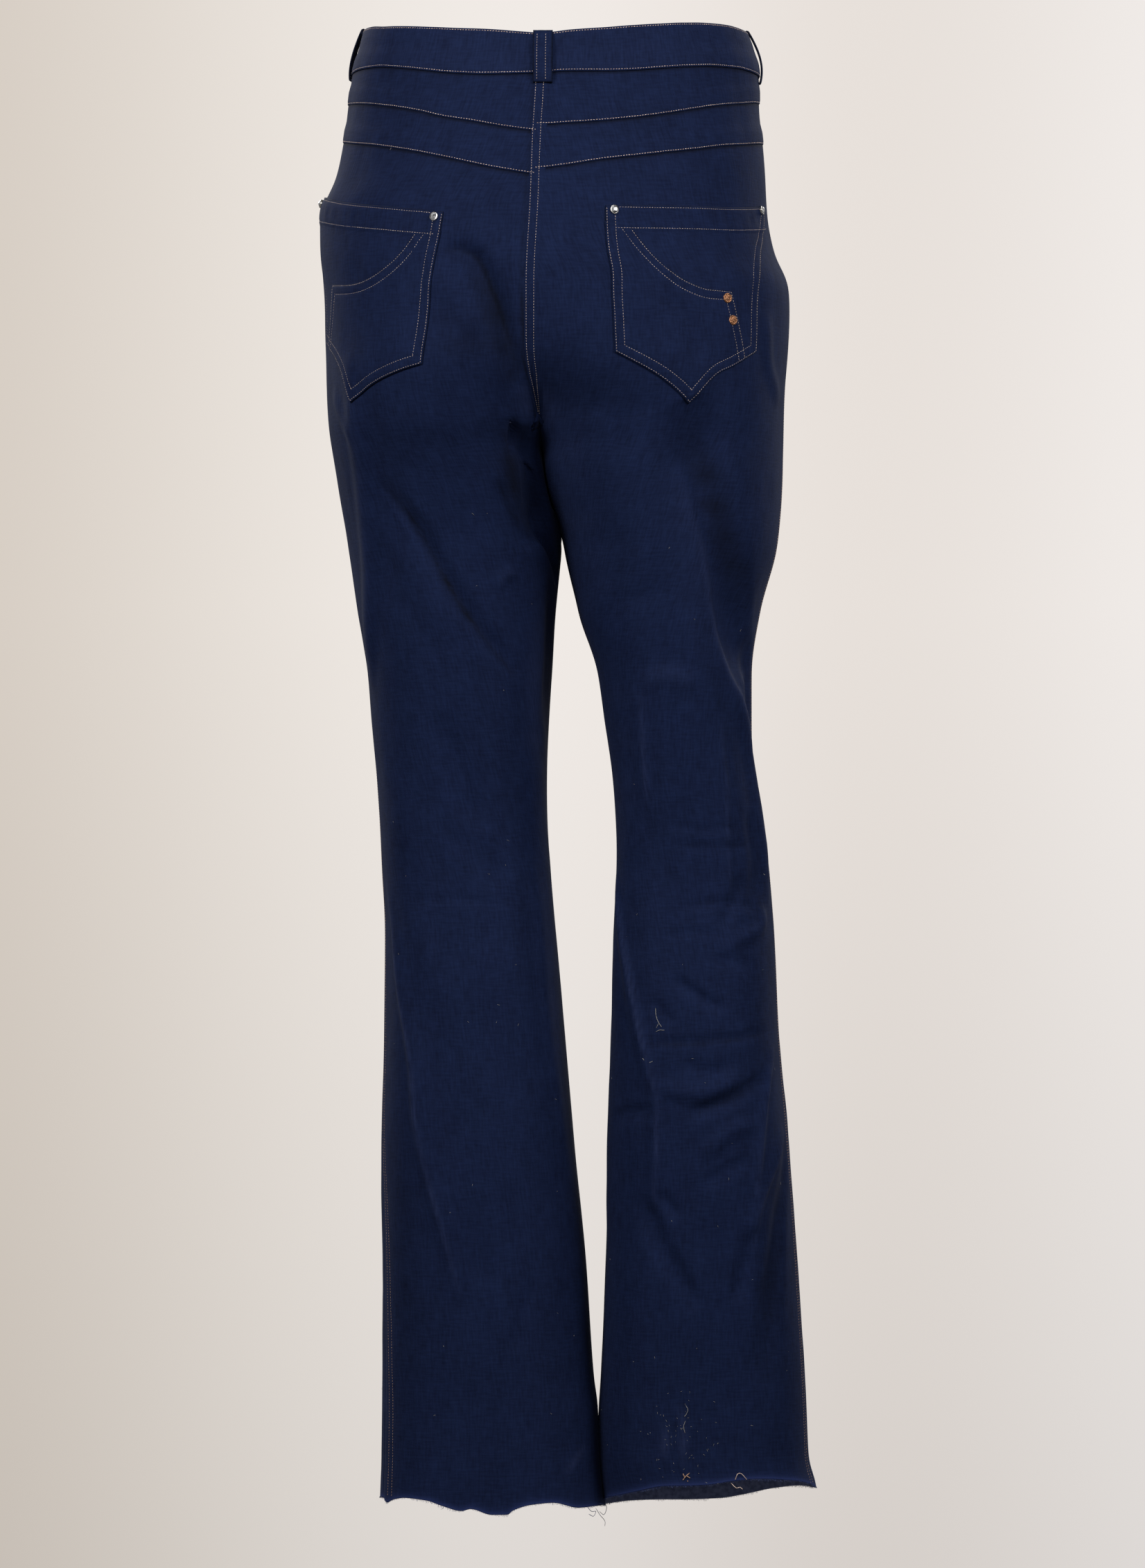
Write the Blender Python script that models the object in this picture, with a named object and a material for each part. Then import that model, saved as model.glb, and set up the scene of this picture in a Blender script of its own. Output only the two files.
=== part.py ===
"""Straight-leg jeans in stretch twill, open and hollow as they are worn.

Metres. +X is the wearer's right, +Y the front and +Z up. The origin is the middle of the
waist opening, level with the top of the waistband at the sides.
"""

import bisect
import functools
import math

import bmesh
import bpy
from mathutils import Vector
from mathutils.bvhtree import BVHTree

# Thicknesses and gaps
CLOTH = 0.0015
POCKET_CLOTH = 0.0012
OVERLAY_CLOTH = 0.0010
SEAM = 0.0003  # between two pieces at a seam
LAY = 0.0012  # from a panel's face to the back of a piece that lies on it
THIGH_GAP = 0.0010  # between the thighs where they press together
SQUARENESS = 2.15  # 2 is an ellipse; more is squarer

# Waistband
BAND_FACE = 0.0006  # the band stands this far proud of the panels
BAND_WALL = 0.0022
BAND_LAP = 0.030  # how far the outer end passes the centre front
BAND_RAMP = 0.035  # over which the inner end steps in behind it

# Belt loops
LOOP_WIDTH = 0.0145
LOOP_WALL = 0.0022
LOOP_LENGTH = 0.042
LOOP_STAND = 0.0027  # the most that a loop stands off the band
LOOP_TOP = 0.0015  # below the band's top edge
LOOP_ROUNDNESS = 0.6  # 1 bows it like a sine wave; less is flatter in the middle

# Metal and stones. A crown is how far the rim is rounded off.
STUD_RADIUS = 0.0033
STUD_HEIGHT = 0.0024
STUD_CROWN = 0.0011
RIVET_RADIUS = 0.0037
RIVET_HEIGHT = 0.0016
RIVET_CROWN = 0.0007
BUTTON_RADIUS = 0.0085
BUTTON_HEIGHT = 0.0030
BUTTON_CROWN = 0.0009

# Places round the body, from the outseam or from the centre seam
CENTRE_LOOP_ASIDE = 0.0025
SIDE_LOOP_PLACE = 0.016
FRONT_LOOP_PLACE = 0.095
FLY_RIGHT = 0.006
FLY_LEFT = 0.034
FLY_FOOT = -0.185
FLY_TOP_BELOW = 0.003  # below the waistband's lower edge

# Back pockets. Each spot is its distance round from the outseam, and its height; an edge's
# spots run from the outer one to the inner one.
POCKET_HOLLOW = 0.0045  # how far the two bottom edges curve up from straight lines
POCKETS = {
    "left": {
        "top_out": (0.033, -0.129),
        "top_in": (0.200, -0.149),
        "foot_out": (0.048, -0.242),
        "foot_in": (0.189, -0.264),
        "point": (0.116, -0.291),
        "overlay_edge": (
            (0.066, -0.199), (0.086, -0.199), (0.120, -0.200), (0.145, -0.194),
            (0.164, -0.181), (0.178, -0.167), (0.199, -0.168),
        ),  # fmt: skip
        "overlay_foot": 0.10,
        "bows": (0.010, 0.002),
        "stud_out": (0.037, -0.135),
        "stud_in": (0.194, -0.152),
    },
    "right": {
        "top_out": (0.045, -0.137),
        "top_in": (0.208, -0.143),
        "foot_out": (0.100, -0.253),
        "foot_in": (0.222, -0.255),
        "point": (0.158, -0.294),
        "overlay_edge": (
            (0.123, -0.208), (0.132, -0.206), (0.153, -0.204), (0.172, -0.196),
            (0.184, -0.183), (0.192, -0.162), (0.212, -0.162),
        ),  # fmt: skip
        "overlay_foot": 0.10,
        "bows": (0.015, 0.007),
        "stud_out": (0.053, -0.142),
        "stud_in": (0.203, -0.147),
        "rivet_upper": (0.127, -0.2125),
        "rivet_lower": (0.122, -0.2295),
    },
}

# Where the centre back and front seams bend forward under the body
CROTCH = -0.300
CROTCH_BEND = -0.262
CROTCH_REACH = 0.085

CROTCH_JOIN = 0.010  # over which the two sides take the same roundness above the crotch

THIGH_FREE = -0.400  # the thighs part here
THIGH_END = -0.500  # and from here down the panels' columns are even again

# Grid of each panel
FLAT_COLUMNS = 3
FLAT_LEAST = 0.012
BACK_COLUMNS = 14
FRONT_COLUMNS = 9

SIDES = {"left": -1, "right": 1}
OTHER_FACE = {"back": "front", "front": "back"}


def rows_of(columns, rows):
    return [dict(zip(columns, row)) for row in rows]


# The cloth's outline from behind. An axis is the middle of a leg, and above the crotch of a cheek.
OUTLINE = rows_of(
    ("height", "left", "left_axis", "middle", "right_axis", "right"),
    (
        (0.010, -0.147, -0.010, -0.010, -0.010, 0.144),
        (0.000, -0.149, -0.010, -0.010, -0.010, 0.147),
        (-0.033, -0.158, -0.012, -0.012, -0.012, 0.157),
        (-0.056, -0.161, -0.013, -0.013, -0.013, 0.157),
        (-0.087, -0.165, -0.015, -0.015, -0.015, 0.160),
        (-0.115, -0.171, -0.017, -0.016, -0.015, 0.162),
        (-0.142, -0.182, -0.021, -0.017, -0.014, 0.163),
        (-0.175, -0.182, -0.028, -0.019, -0.011, 0.169),
        (-0.200, -0.180, -0.036, -0.020, -0.008, 0.180),
        (-0.225, -0.179, -0.047, -0.020, 0.006, 0.181),
        (-0.250, -0.178, -0.061, -0.020, 0.027, 0.180),
        (-0.275, -0.178, -0.075, -0.017, 0.050, 0.178),
        (-0.300, -0.177, -0.082, -0.013, 0.067, 0.177),
        (-0.350, -0.169, -0.080, -0.005, 0.079, 0.176),
        (-0.400, -0.161, -0.078, 0.005, 0.089, 0.172),
        (-0.450, -0.154, -0.077, 0.009, 0.088, 0.159),
        (-0.500, -0.146, -0.0745, 0.015, 0.0925, 0.152),
        (-0.550, -0.142, -0.074, 0.018, 0.096, 0.152),
        (-0.600, -0.138, -0.0725, 0.020, 0.102, 0.158),
        (-0.650, -0.1355, -0.070, 0.021, 0.106, 0.165),
        (-0.700, -0.133, -0.0665, 0.022, 0.107, 0.169),
        (-0.780, -0.134, -0.0635, 0.024, 0.108, 0.173),
        (-0.860, -0.136, -0.061, 0.027, 0.110, 0.180),
        (-0.950, -0.135, -0.056, 0.030, 0.113, 0.187),
        (-1.050, -0.135, -0.0525, 0.032, 0.114, 0.1935),
        (-1.110, -0.136, -0.052, 0.034, 0.116, 0.196),
        (-1.160, -0.138, -0.050, 0.039, 0.121, 0.202),
    ),
)

# Depths behind and before the outseams, how far the left leg stands ahead, how far the front's
# middle lies towards the wearer's right, and the turn of the outseams towards the back, in degrees.
DEPTH = rows_of(
    ("height", "back", "front", "stride", "front_shift", "left_turn", "right_turn"),
    (
        (0.010, -0.102, 0.099, 0.000, 0.022, -14, -6),
        (-0.033, -0.109, 0.105, 0.000, 0.026, -14, -6),
        (-0.087, -0.121, 0.110, 0.000, 0.030, -14, -6),
        (-0.145, -0.133, 0.112, 0.000, 0.034, -14, -6),
        (-0.200, -0.140, 0.111, 0.000, 0.034, -14, -5),
        (-0.250, -0.138, 0.108, 0.000, 0.022, -13, -4),
        (-0.300, -0.125, 0.104, 0.000, 0.000, -12, -2),
        (-0.350, -0.110, 0.099, 0.006, 0.000, -11, 1),
        (-0.400, -0.101, 0.095, 0.010, 0.000, -10, 4),
        (-0.500, -0.090, 0.087, 0.010, 0.000, -7, 6),
        (-0.600, -0.078, 0.080, 0.010, 0.000, -3, 5),
        (-0.650, -0.075, 0.079, 0.010, 0.000, 0, 4),
        (-0.750, -0.083, 0.066, 0.010, 0.000, 6, 3),
        (-0.850, -0.085, 0.061, 0.009, 0.000, 12, 5),
        (-0.950, -0.081, 0.063, 0.007, 0.000, 16, 8),
        (-1.050, -0.076, 0.069, 0.005, 0.000, 18, 10),
        (-1.160, -0.072, 0.075, 0.004, 0.000, 18, 10),
    ),
)

# Seam lines that run round the body: height at the outseam and at the centre, and how late they
# bend down on the way to a point there. The ones with 0 end level instead.
BAND_TOP = {
    "left back": (0.000, -0.010, 2.0),
    "right back": (0.000, -0.009, 2.4),
    "left front": (0.000, -0.030, 0),
    "right front": (0.000, -0.030, 0),
}
BAND_SEAM = {
    "left back": (-0.033, -0.0395, 2.0),
    "right back": (-0.033, -0.037, 3.0),
    "left front": (-0.033, -0.064, 0),
    "right front": (-0.033, -0.064, 0),
}
UPPER_SEAM = {"left back": (-0.056, -0.084, 2.0), "right back": (-0.056, -0.078, 1.2)}
LOWER_SEAM = {"left back": (-0.087, -0.1155, 2.0), "right back": (-0.087, -0.1135, 1.2)}

# The raw hem's height at even steps from the outseam to the inseam
HEM = {
    "left back": (-1.139, -1.141, -1.147, -1.140, -1.144),
    "right back": (-1.130, -1.122, -1.121, -1.125, -1.144),
    "left front": (-1.139, -1.140, -1.142, -1.142, -1.144),
    "right front": (-1.130, -1.137, -1.143, -1.147, -1.144),
}

# The largest folds. Each runs straight from one spot to another, a spot being its distance round
# from the outseam and its height; its reach is how far it spreads to each side, and its rise is
# how far it stands out, or in where it is a trough.
FOLDS = rows_of(
    ("panel", "start", "end", "reach", "rise"),
    (
        ("left back", (0.195, -0.180), (0.268, -0.262), 0.020, -0.0025),
        ("left back", (0.112, -0.350), (0.186, -0.500), 0.024, -0.0035),
        ("left back", (0.240, -0.285), (0.246, -0.400), 0.034, -0.0100),
        ("left back", (0.110, -0.300), (0.040, -0.510), 0.020, 0.0025),
        ("left back", (0.040, -0.640), (0.075, -0.980), 0.022, 0.0025),
        ("right back", (0.150, -0.325), (0.060, -0.510), 0.026, 0.0030),
        ("right back", (0.062, -0.480), (0.028, -0.680), 0.022, 0.0030),
        ("right back", (0.030, -0.470), (0.010, -0.640), 0.018, -0.0025),
        ("right back", (0.195, -0.640), (0.150, -0.900), 0.022, 0.0025),
        ("right back", (0.135, -0.735), (0.015, -0.730), 0.022, -0.0020),
        ("left front", (0.080, -0.215), (0.190, -0.275), 0.022, -0.0025),
        ("left front", (0.100, -0.270), (0.205, -0.305), 0.020, 0.0020),
        ("left front", (0.060, -0.600), (0.170, -0.640), 0.024, -0.0025),
        ("right front", (0.080, -0.220), (0.195, -0.280), 0.022, -0.0025),
        ("right front", (0.110, -0.275), (0.215, -0.308), 0.020, 0.0020),
        ("right front", (0.060, -0.640), (0.170, -0.600), 0.024, -0.0025),
    ),
)
FOLD_FREE = 0.020  # from a panel's edge inwards, over which a fold dies out towards the seam
FOLD_ENDS = 0.7  # 1 fades a fold along its length like a sine wave; less keeps it strong for longer

# Heights at the outseam that the grids of the back and front panels share
PANEL_ROWS = (
    -0.120, -0.145, -0.163, -0.178, -0.192, -0.207, -0.226, -0.246, -0.263, -0.276, -0.289, -0.300,
    -0.322, -0.346, -0.372, -0.400, -0.435, -0.470, -0.510, -0.555, -0.600, -0.650,
    -0.710, -0.780, -0.860, -0.950, -1.050, -1.110,
)  # fmt: skip
PANEL_PARTS = (("hip", -0.246), ("thigh", -0.470), ("knee", -0.710), ("calf", -0.950), ("ankle", None))
SEAT = -0.200  # from here down a panel's rows are level
SHIN = -1.050  # from here down they follow the hem


def curve(rows, name):
    """A smooth function of height through one column of a table, level beyond its ends."""
    depths = [-row["height"] for row in rows]
    values = [row[name] for row in rows]
    steps = [b - a for a, b in zip(depths, depths[1:])]
    rises = [(b - a) / step for a, b, step in zip(values, values[1:], steps)]
    inner = [2 / (1 / a + 1 / b) if a * b > 0 else 0.0 for a, b in zip(rises, rises[1:])]
    slopes = [rises[0], *inner, rises[-1]]

    def at(height):
        depth = min(max(-height, depths[0]), depths[-1])
        i = min(bisect.bisect_right(depths, depth), len(depths) - 1) - 1
        t = (depth - depths[i]) / steps[i]
        bend = t * t * (3 - 2 * t)
        start = t * (1 - t) ** 2 * steps[i] * slopes[i]
        end = t * t * (1 - t) * steps[i] * slopes[i + 1]
        return values[i] + (values[i + 1] - values[i]) * bend + start - end

    return at


WIDE = {name: curve(OUTLINE, name) for name in OUTLINE[0]}
DEEP = {name: curve(DEPTH, name) for name in DEPTH[0]}


def seam_height(line, side, face, share):
    """Height of a seam that runs round the body, at a share of the way to the centre."""
    outer, centre, lateness = line[f"{side} {face}"]
    share = max(share, 0)
    bend = share**lateness if lateness else share * share * (3 - 2 * share)
    return outer + (centre - outer) * bend


def hem_height(side, face, share):
    heights = HEM[f"{side} {face}"]
    place = min(max(share, 0), 1) * (len(heights) - 1)
    i = min(int(place), len(heights) - 2)
    t = place - i
    return heights[i] + (heights[i + 1] - heights[i]) * t * t * (3 - 2 * t)


def pressed(height):
    """0 where the two sides meet at the centre seams, 1 from the crotch down."""
    return min(max((CROTCH_BEND - height) / (CROTCH_BEND - CROTCH), 0), 1)


def cheek(side, face, height):
    """x of the plane that one side's cloth stops at, and of the middle of its cheek or leg.

    Above the crotch both sides have the same roundness, so that they meet at the centre seams.
    """
    shift = DEEP["front_shift"](height) if face == "front" else 0.0
    gap = max(pressed(height) * THIGH_GAP, SEAM)
    rounds = {}
    for name, hand in SIDES.items():
        wall = WIDE["middle"](height) + shift + hand * gap / 2
        axis = WIDE[name + "_axis"](height) + shift
        rounds[name] = (axis - wall) / (WIDE[name](height) - axis)
    joined = min(max((height - CROTCH) / CROTCH_JOIN, 0), 1)
    shared = sum(rounds.values()) / 2
    roundness = rounds[side] + (shared - rounds[side]) * joined
    wall = WIDE["middle"](height) + shift + SIDES[side] * gap / 2
    return wall, (wall + roundness * WIDE[side](height)) / (1 + roundness)


@functools.lru_cache(maxsize=None)
def section(side, face, height):
    """A level cut through one side's cloth, from its outseam to its centre seam or inseam.

    It gives the points, how far along the cloth each one is, and how much is pressed flat
    against the other thigh.
    """
    flat = 0.0
    hand = SIDES[side]
    outer = WIDE[side](height)
    seated = -hand * DEEP["stride"](height)
    turn = math.radians(DEEP[side + "_turn"](height))
    press = pressed(height)

    def ring(angle):
        own = face if angle >= 0 else OTHER_FACE[face]
        wall, axis = cheek(side, own, height)
        across = math.copysign(abs(math.cos(angle)) ** (2 / SQUARENESS), math.cos(angle))
        deep = abs(math.sin(angle)) ** (2 / SQUARENESS)
        return axis + (outer - axis) * across, seated + DEEP[own](height) * deep

    wall, axis = cheek(side, face, height)
    share = (axis - wall) / (outer - axis)
    if share >= 1:
        last = math.pi
    else:
        last = math.pi - math.acos(math.copysign(abs(share) ** (SQUARENESS / 2), share))
    first = turn if face == "back" else -turn
    steps = 48
    points = [ring(first + (last - first) * i / steps) for i in range(steps + 1)]
    if share < 1:
        outward = -1 if face == "back" else 1
        seam = 0.0 if height <= CROTCH else outward * CROTCH_REACH * (1 - press)
        seam = seated if height <= CROTCH else seam
        points[-1] = (wall, points[-1][1])
        if press > 0 and outward * (points[-1][1] - seam) > 0:
            flat = abs(points[-1][1] - seam)
            points.append((wall, seam))
    lengths = [0.0]
    for a, b in zip(points, points[1:]):
        lengths.append(lengths[-1] + math.dist(a, b))
    return points, lengths, flat


def along(side, face, distance, height):
    """The point of the cloth's face at a distance round from the outseam."""
    points, lengths, _ = section(side, face, round(height, 6))
    distance = min(max(distance, 0), lengths[-1])
    i = min(max(bisect.bisect_right(lengths, distance) - 1, 0), len(points) - 2)
    t = (distance - lengths[i]) / max(lengths[i + 1] - lengths[i], 1e-9)
    (ax, ay), (bx, by) = points[i], points[i + 1]
    return Vector((ax + (bx - ax) * t, ay + (by - ay) * t, height))


def girth(side, face, height):
    return section(side, face, round(height, 6))[1][-1]


def relief(side, face, distance, height):
    """How far the folds move the cloth out at a spot."""
    edge = min(distance, girth(side, face, height) - distance) / FOLD_FREE
    total = 0.0
    for fold in FOLDS:
        if fold["panel"] != f"{side} {face}":
            continue
        (ax, az), (bx, bz) = fold["start"], fold["end"]
        dx, dz = bx - ax, bz - az
        share = ((distance - ax) * dx + (height - az) * dz) / (dx * dx + dz * dz)
        off = math.dist((distance, height), (ax + dx * share, az + dz * share)) / fold["reach"]
        if 0 < share < 1 and off < 1:
            spread = (1 + math.cos(math.pi * off)) / 2
            total += fold["rise"] * spread * math.sin(math.pi * share) ** FOLD_ENDS
    return total * min(max(edge, 0), 1)


def column_share(side, face, u, columns, height):
    """Where a panel's column lies, as a share of the way inwards.

    The columns are evenly spaced, except that by the crotch the last few take the flat stretch.
    """
    length, flat = girth(side, face, height), section(side, face, round(height, 6))[2]
    bend = (columns - FLAT_COLUMNS) / columns
    above = (SEAT - height) / (SEAT - CROTCH_BEND)
    below = (height - THIGH_END) / (THIGH_FREE - THIGH_END)
    by_crotch = min(max(min(above, below), 0), 1)
    corner = bend + (1 - max(flat, FLAT_LEAST) / length - bend) * by_crotch
    if u <= bend:
        return corner * u / bend
    return corner + (1 - corner) * (u - bend) / (1 - bend)


def on_cloth(side, face, share, height, out, trim=0.0):
    """A point moved out from the cloth's face, at a share of the way from the outseam inwards.

    The trim is left off at the outseam, and at the inseam too.
    """

    def face_point(share, height):
        ends = trim * (1 + pressed(height))
        return along(side, face, trim + share * (girth(side, face, height) - ends), height)

    step = 0.002
    point = face_point(share, height)
    around = face_point(min(share + step, 1), height) - face_point(max(share - step, 0), height)
    upward = face_point(share, height + step / 2) - face_point(share, height - step / 2)
    normal = around.cross(upward).normalized()
    if (side == "right") == (face == "back"):
        normal.negate()
    moved = relief(side, face, share * girth(side, face, height), height)
    return point + normal * (out + moved)


def on_panel(side, distance, height, out, face="back"):
    """A point moved out from a panel's face, at a distance round from the outseam."""
    return on_cloth(side, face, distance / girth(side, face, height), height, out)


def material(name, colour, roughness, metallic=0.0):
    made = bpy.data.materials.new(name)
    made.use_nodes = True
    shader = made.node_tree.nodes["Principled BSDF"]
    shader.inputs["Base Color"].default_value = (*colour, 1)
    shader.inputs["Roughness"].default_value = roughness
    shader.inputs["Metallic"].default_value = metallic
    return made


def add(name, shape, finish):
    """Turns a closed bmesh, whose faces agree, into a named object with its faces pointing out."""
    if shape.calc_volume(signed=True) < 0:
        bmesh.ops.reverse_faces(shape, faces=shape.faces)
    mesh = bpy.data.meshes.new(name)
    shape.to_mesh(mesh)
    shape.free()
    mesh.materials.append(finish)
    mesh.shade_smooth()
    mesh.set_sharp_from_angle(angle=math.radians(50))
    piece = bpy.data.objects.new(name, mesh)
    bpy.context.collection.objects.link(piece)
    return piece


def cloth_wall(name, columns, rows, place, finish):
    """A closed wall of cloth: place(u, v, w) sets each corner of a unit slab, w 0 inside, 1 outside."""
    shape = bmesh.new()
    bmesh.ops.create_grid(shape, x_segments=columns, y_segments=rows, size=0.5)
    bmesh.ops.translate(shape, vec=(0.5, 0.5, 0), verts=shape.verts)
    raised = bmesh.ops.extrude_face_region(shape, geom=shape.faces[:], use_keep_orig=True)
    lifted = [part for part in raised["geom"] if isinstance(part, bmesh.types.BMVert)]
    bmesh.ops.translate(shape, vec=(0, 0, 1), verts=lifted)
    bmesh.ops.recalc_face_normals(shape, faces=shape.faces)
    for vert in shape.verts:
        vert.co = place(*vert.co)
    return add(name, shape, finish)


def panel(side, face, top, upper_rows, columns, finish):
    """A leg panel from the seam above it to its raw hem.

    The one length of cloth is divided at level lines into solids short enough that collision
    follows their hollow.
    """
    heights = [top[f"{side} {face}"][0], *upper_rows, *PANEL_ROWS]
    rows = len(heights)

    def row_height(row, share):
        if row == 0:
            return seam_height(top, side, face, share) - SEAM / 2
        if row == rows:
            return hem_height(side, face, share)
        level = heights[row]
        if level > SEAT:
            drop = seam_height(top, side, face, share) - heights[0]
            return level + drop * (SEAT - level) / (SEAT - heights[0])
        if level < SHIN:
            hem = hem_height(side, face, 0)
            return level + (hem_height(side, face, share) - hem) * (SHIN - level) / (SHIN - hem)
        return level

    first = 0
    for name, foot in PANEL_PARTS:
        last = rows if foot is None else heights.index(foot)

        def place(u, v, w, first=first, last=last):
            row = first + round(v * (last - first))
            height = row_height(row, u)
            share = column_share(side, face, u, columns, height)
            if row == first > 0:
                height -= SEAM / 2
            if row == last < rows:
                height += SEAM / 2
            return on_cloth(side, face, share, height, (w - 1) * CLOTH, SEAM / 2)

        cloth_wall(f"{face}_{side}_{name}", columns, last - first, place, finish)
        first = last


def yoke(name, side, above, below, finish):
    def place(u, v, w):
        top = seam_height(above, side, "back", u) - SEAM / 2
        bottom = seam_height(below, side, "back", u) + SEAM / 2
        return on_cloth(side, "back", u, top + (bottom - top) * v, (w - 1) * CLOTH, SEAM / 2)

    return cloth_wall(f"{name}_{side}", BACK_COLUMNS, 1, place, finish)


def waistband(finish):
    """One strip from the centre front round to it, where the outer end laps over the inner one."""
    stops = []
    for side, face, columns in (
        ("right", "front", FRONT_COLUMNS),
        ("right", "back", BACK_COLUMNS),
        ("left", "back", BACK_COLUMNS),
        ("left", "front", FRONT_COLUMNS),
    ):
        shares = [i / columns for i in range(columns + 1)]
        inwards = (side == "right") == (face == "back")
        if not inwards:
            shares.reverse()
        stops += [(side, face, share) for share in shares[1 if stops else 0 :]]
    lap_share = BAND_LAP / girth("right", "front", BAND_SEAM["right front"][1])
    stops += [("right", "front", 1 - lap_share * part) for part in (0.5, 1)]
    inner_end = len(stops) - 3

    def place(u, v, w):
        i = round(u * (len(stops) - 1))
        side, face, share = stops[i]
        top = seam_height(BAND_TOP, side, face, share)
        bottom = seam_height(BAND_SEAM, side, face, share) + SEAM / 2
        under = 0.0
        if i < inner_end and (side, face) == ("right", "front"):
            from_centre = (1 - share) * girth(side, face, bottom)
            ramp = (BAND_LAP + BAND_RAMP - from_centre) / BAND_RAMP
            under = (BAND_WALL + LAY) * min(max(ramp, 0), 1)
        out = BAND_FACE + (w - 1) * BAND_WALL - under
        return on_cloth(side, face, share, bottom + (top - bottom) * v, out)

    return cloth_wall("waistband", len(stops) - 1, 2, place, finish)


def belt_loop(name, spot, top, finish):
    """A strap sewn down at its two ends. spot(across, height, out) is a point of it."""
    rows = 10

    def place(u, v, w):
        rise = math.sin(math.pi * v) ** LOOP_ROUNDNESS
        inside = BAND_FACE + SEAM + LOOP_STAND * rise
        height = top - LOOP_TOP - LOOP_LENGTH * v
        return spot((u - 0.5) * LOOP_WIDTH, height, inside + w * LOOP_WALL)

    return cloth_wall(name, 2, rows, place, finish)


def mix(a, b, share):
    return tuple(x + (y - x) * share for x, y in zip(a, b))


def pocket_foot(shape, u):
    """The pocket's bottom edge, u 0 at its outer corner, 0.5 at the point and 1 at the inner corner."""
    if u <= 0.5:
        t = 2 * u
        distance, height = mix(shape["foot_out"], shape["point"], t)
    else:
        t = 2 * u - 1
        distance, height = mix(shape["point"], shape["foot_in"], t)
    return distance, height + POCKET_HOLLOW * 4 * t * (1 - t)


def pocket_spot(shape, u, v):
    """A spot of the pocket. Its sides bow inwards on the cloth, because the hip swells between them."""
    distance, height = mix(mix(shape["top_out"], shape["top_in"], u), pocket_foot(shape, u), v)
    bow_out, bow_in = shape["bows"]
    return distance + (bow_out + (bow_in - bow_out) * u) * 4 * v * (1 - v), height


def pocket(side, finish):
    shape = POCKETS[side]

    def place(u, v, w):
        return on_panel(side, *pocket_spot(shape, u, v), LAY + w * POCKET_CLOTH)

    return cloth_wall(f"pocket_{side}", 12, 9, place, finish)


def pocket_overlay(side, finish):
    """The second layer on a pocket, under a curved free edge that ends in an upright one."""
    shape = POCKETS[side]
    edge = shape["overlay_edge"]

    def place(u, v, w):
        foot = pocket_foot(shape, shape["overlay_foot"] + (1 - shape["overlay_foot"]) * u)
        place_on_edge = u * (len(edge) - 1)
        i = min(int(place_on_edge), len(edge) - 2)
        spot = mix(mix(edge[i], edge[i + 1], place_on_edge - i), foot, v)
        return on_panel(side, *spot, LAY + POCKET_CLOTH + LAY + w * OVERLAY_CLOTH)

    return cloth_wall(f"pocket_overlay_{side}", 2 * (len(edge) - 1), 6, place, finish)


def across_seam(face, across, height, out):
    """A point of the cloth at a distance from the centre seam, positive towards the wearer's right."""
    side = "right" if across >= 0 else "left"
    return on_panel(side, girth(side, face, height) - abs(across), height, out, face)


def fly_shield(finish):
    """The underlap behind the front opening, from the waistband's seam down."""
    top = BAND_SEAM["right front"][1] - FLY_TOP_BELOW

    def place(u, v, w):
        across = FLY_RIGHT - (FLY_RIGHT + FLY_LEFT) * u
        out = -CLOTH - LAY - (1 - w) * CLOTH
        return across_seam("front", across, top + (FLY_FOOT - top) * v, out)

    return cloth_wall("fly_shield", 3, 5, place, finish)


def seat_on(carrier, spot):
    """Where a round piece stands on the carrier's face, and the way up from it.

    spot(out) is the point of the cloth at the piece's middle, moved out.
    """
    corners = [vert.co for vert in carrier.data.vertices]
    tree = BVHTree.FromPolygons(corners, [face.vertices for face in carrier.data.polygons])
    start = spot(0.02)
    place, up, _, _ = tree.ray_cast(start, spot(0.0) - start)
    return place + up * SEAM, up


def button(name, carrier, spot, radius, height, crown, finish):
    base, up = seat_on(carrier, spot)
    shape = bmesh.new()
    bmesh.ops.create_cone(shape, cap_ends=True, segments=14, radius1=radius, radius2=radius, depth=height)
    rim = [edge for edge in shape.edges if min(vert.co.z for vert in edge.verts) > 0]
    bmesh.ops.bevel(
        shape, geom=rim, offset=crown, affect="EDGES", segments=2, profile=0.5, material=-1
    )
    bmesh.ops.translate(shape, vec=(0, 0, height / 2), verts=shape.verts)
    bmesh.ops.rotate(shape, matrix=up.to_track_quat("Z", "Y").to_matrix(), verts=shape.verts)
    bmesh.ops.translate(shape, vec=base, verts=shape.verts)
    return add(name, shape, finish)


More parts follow.
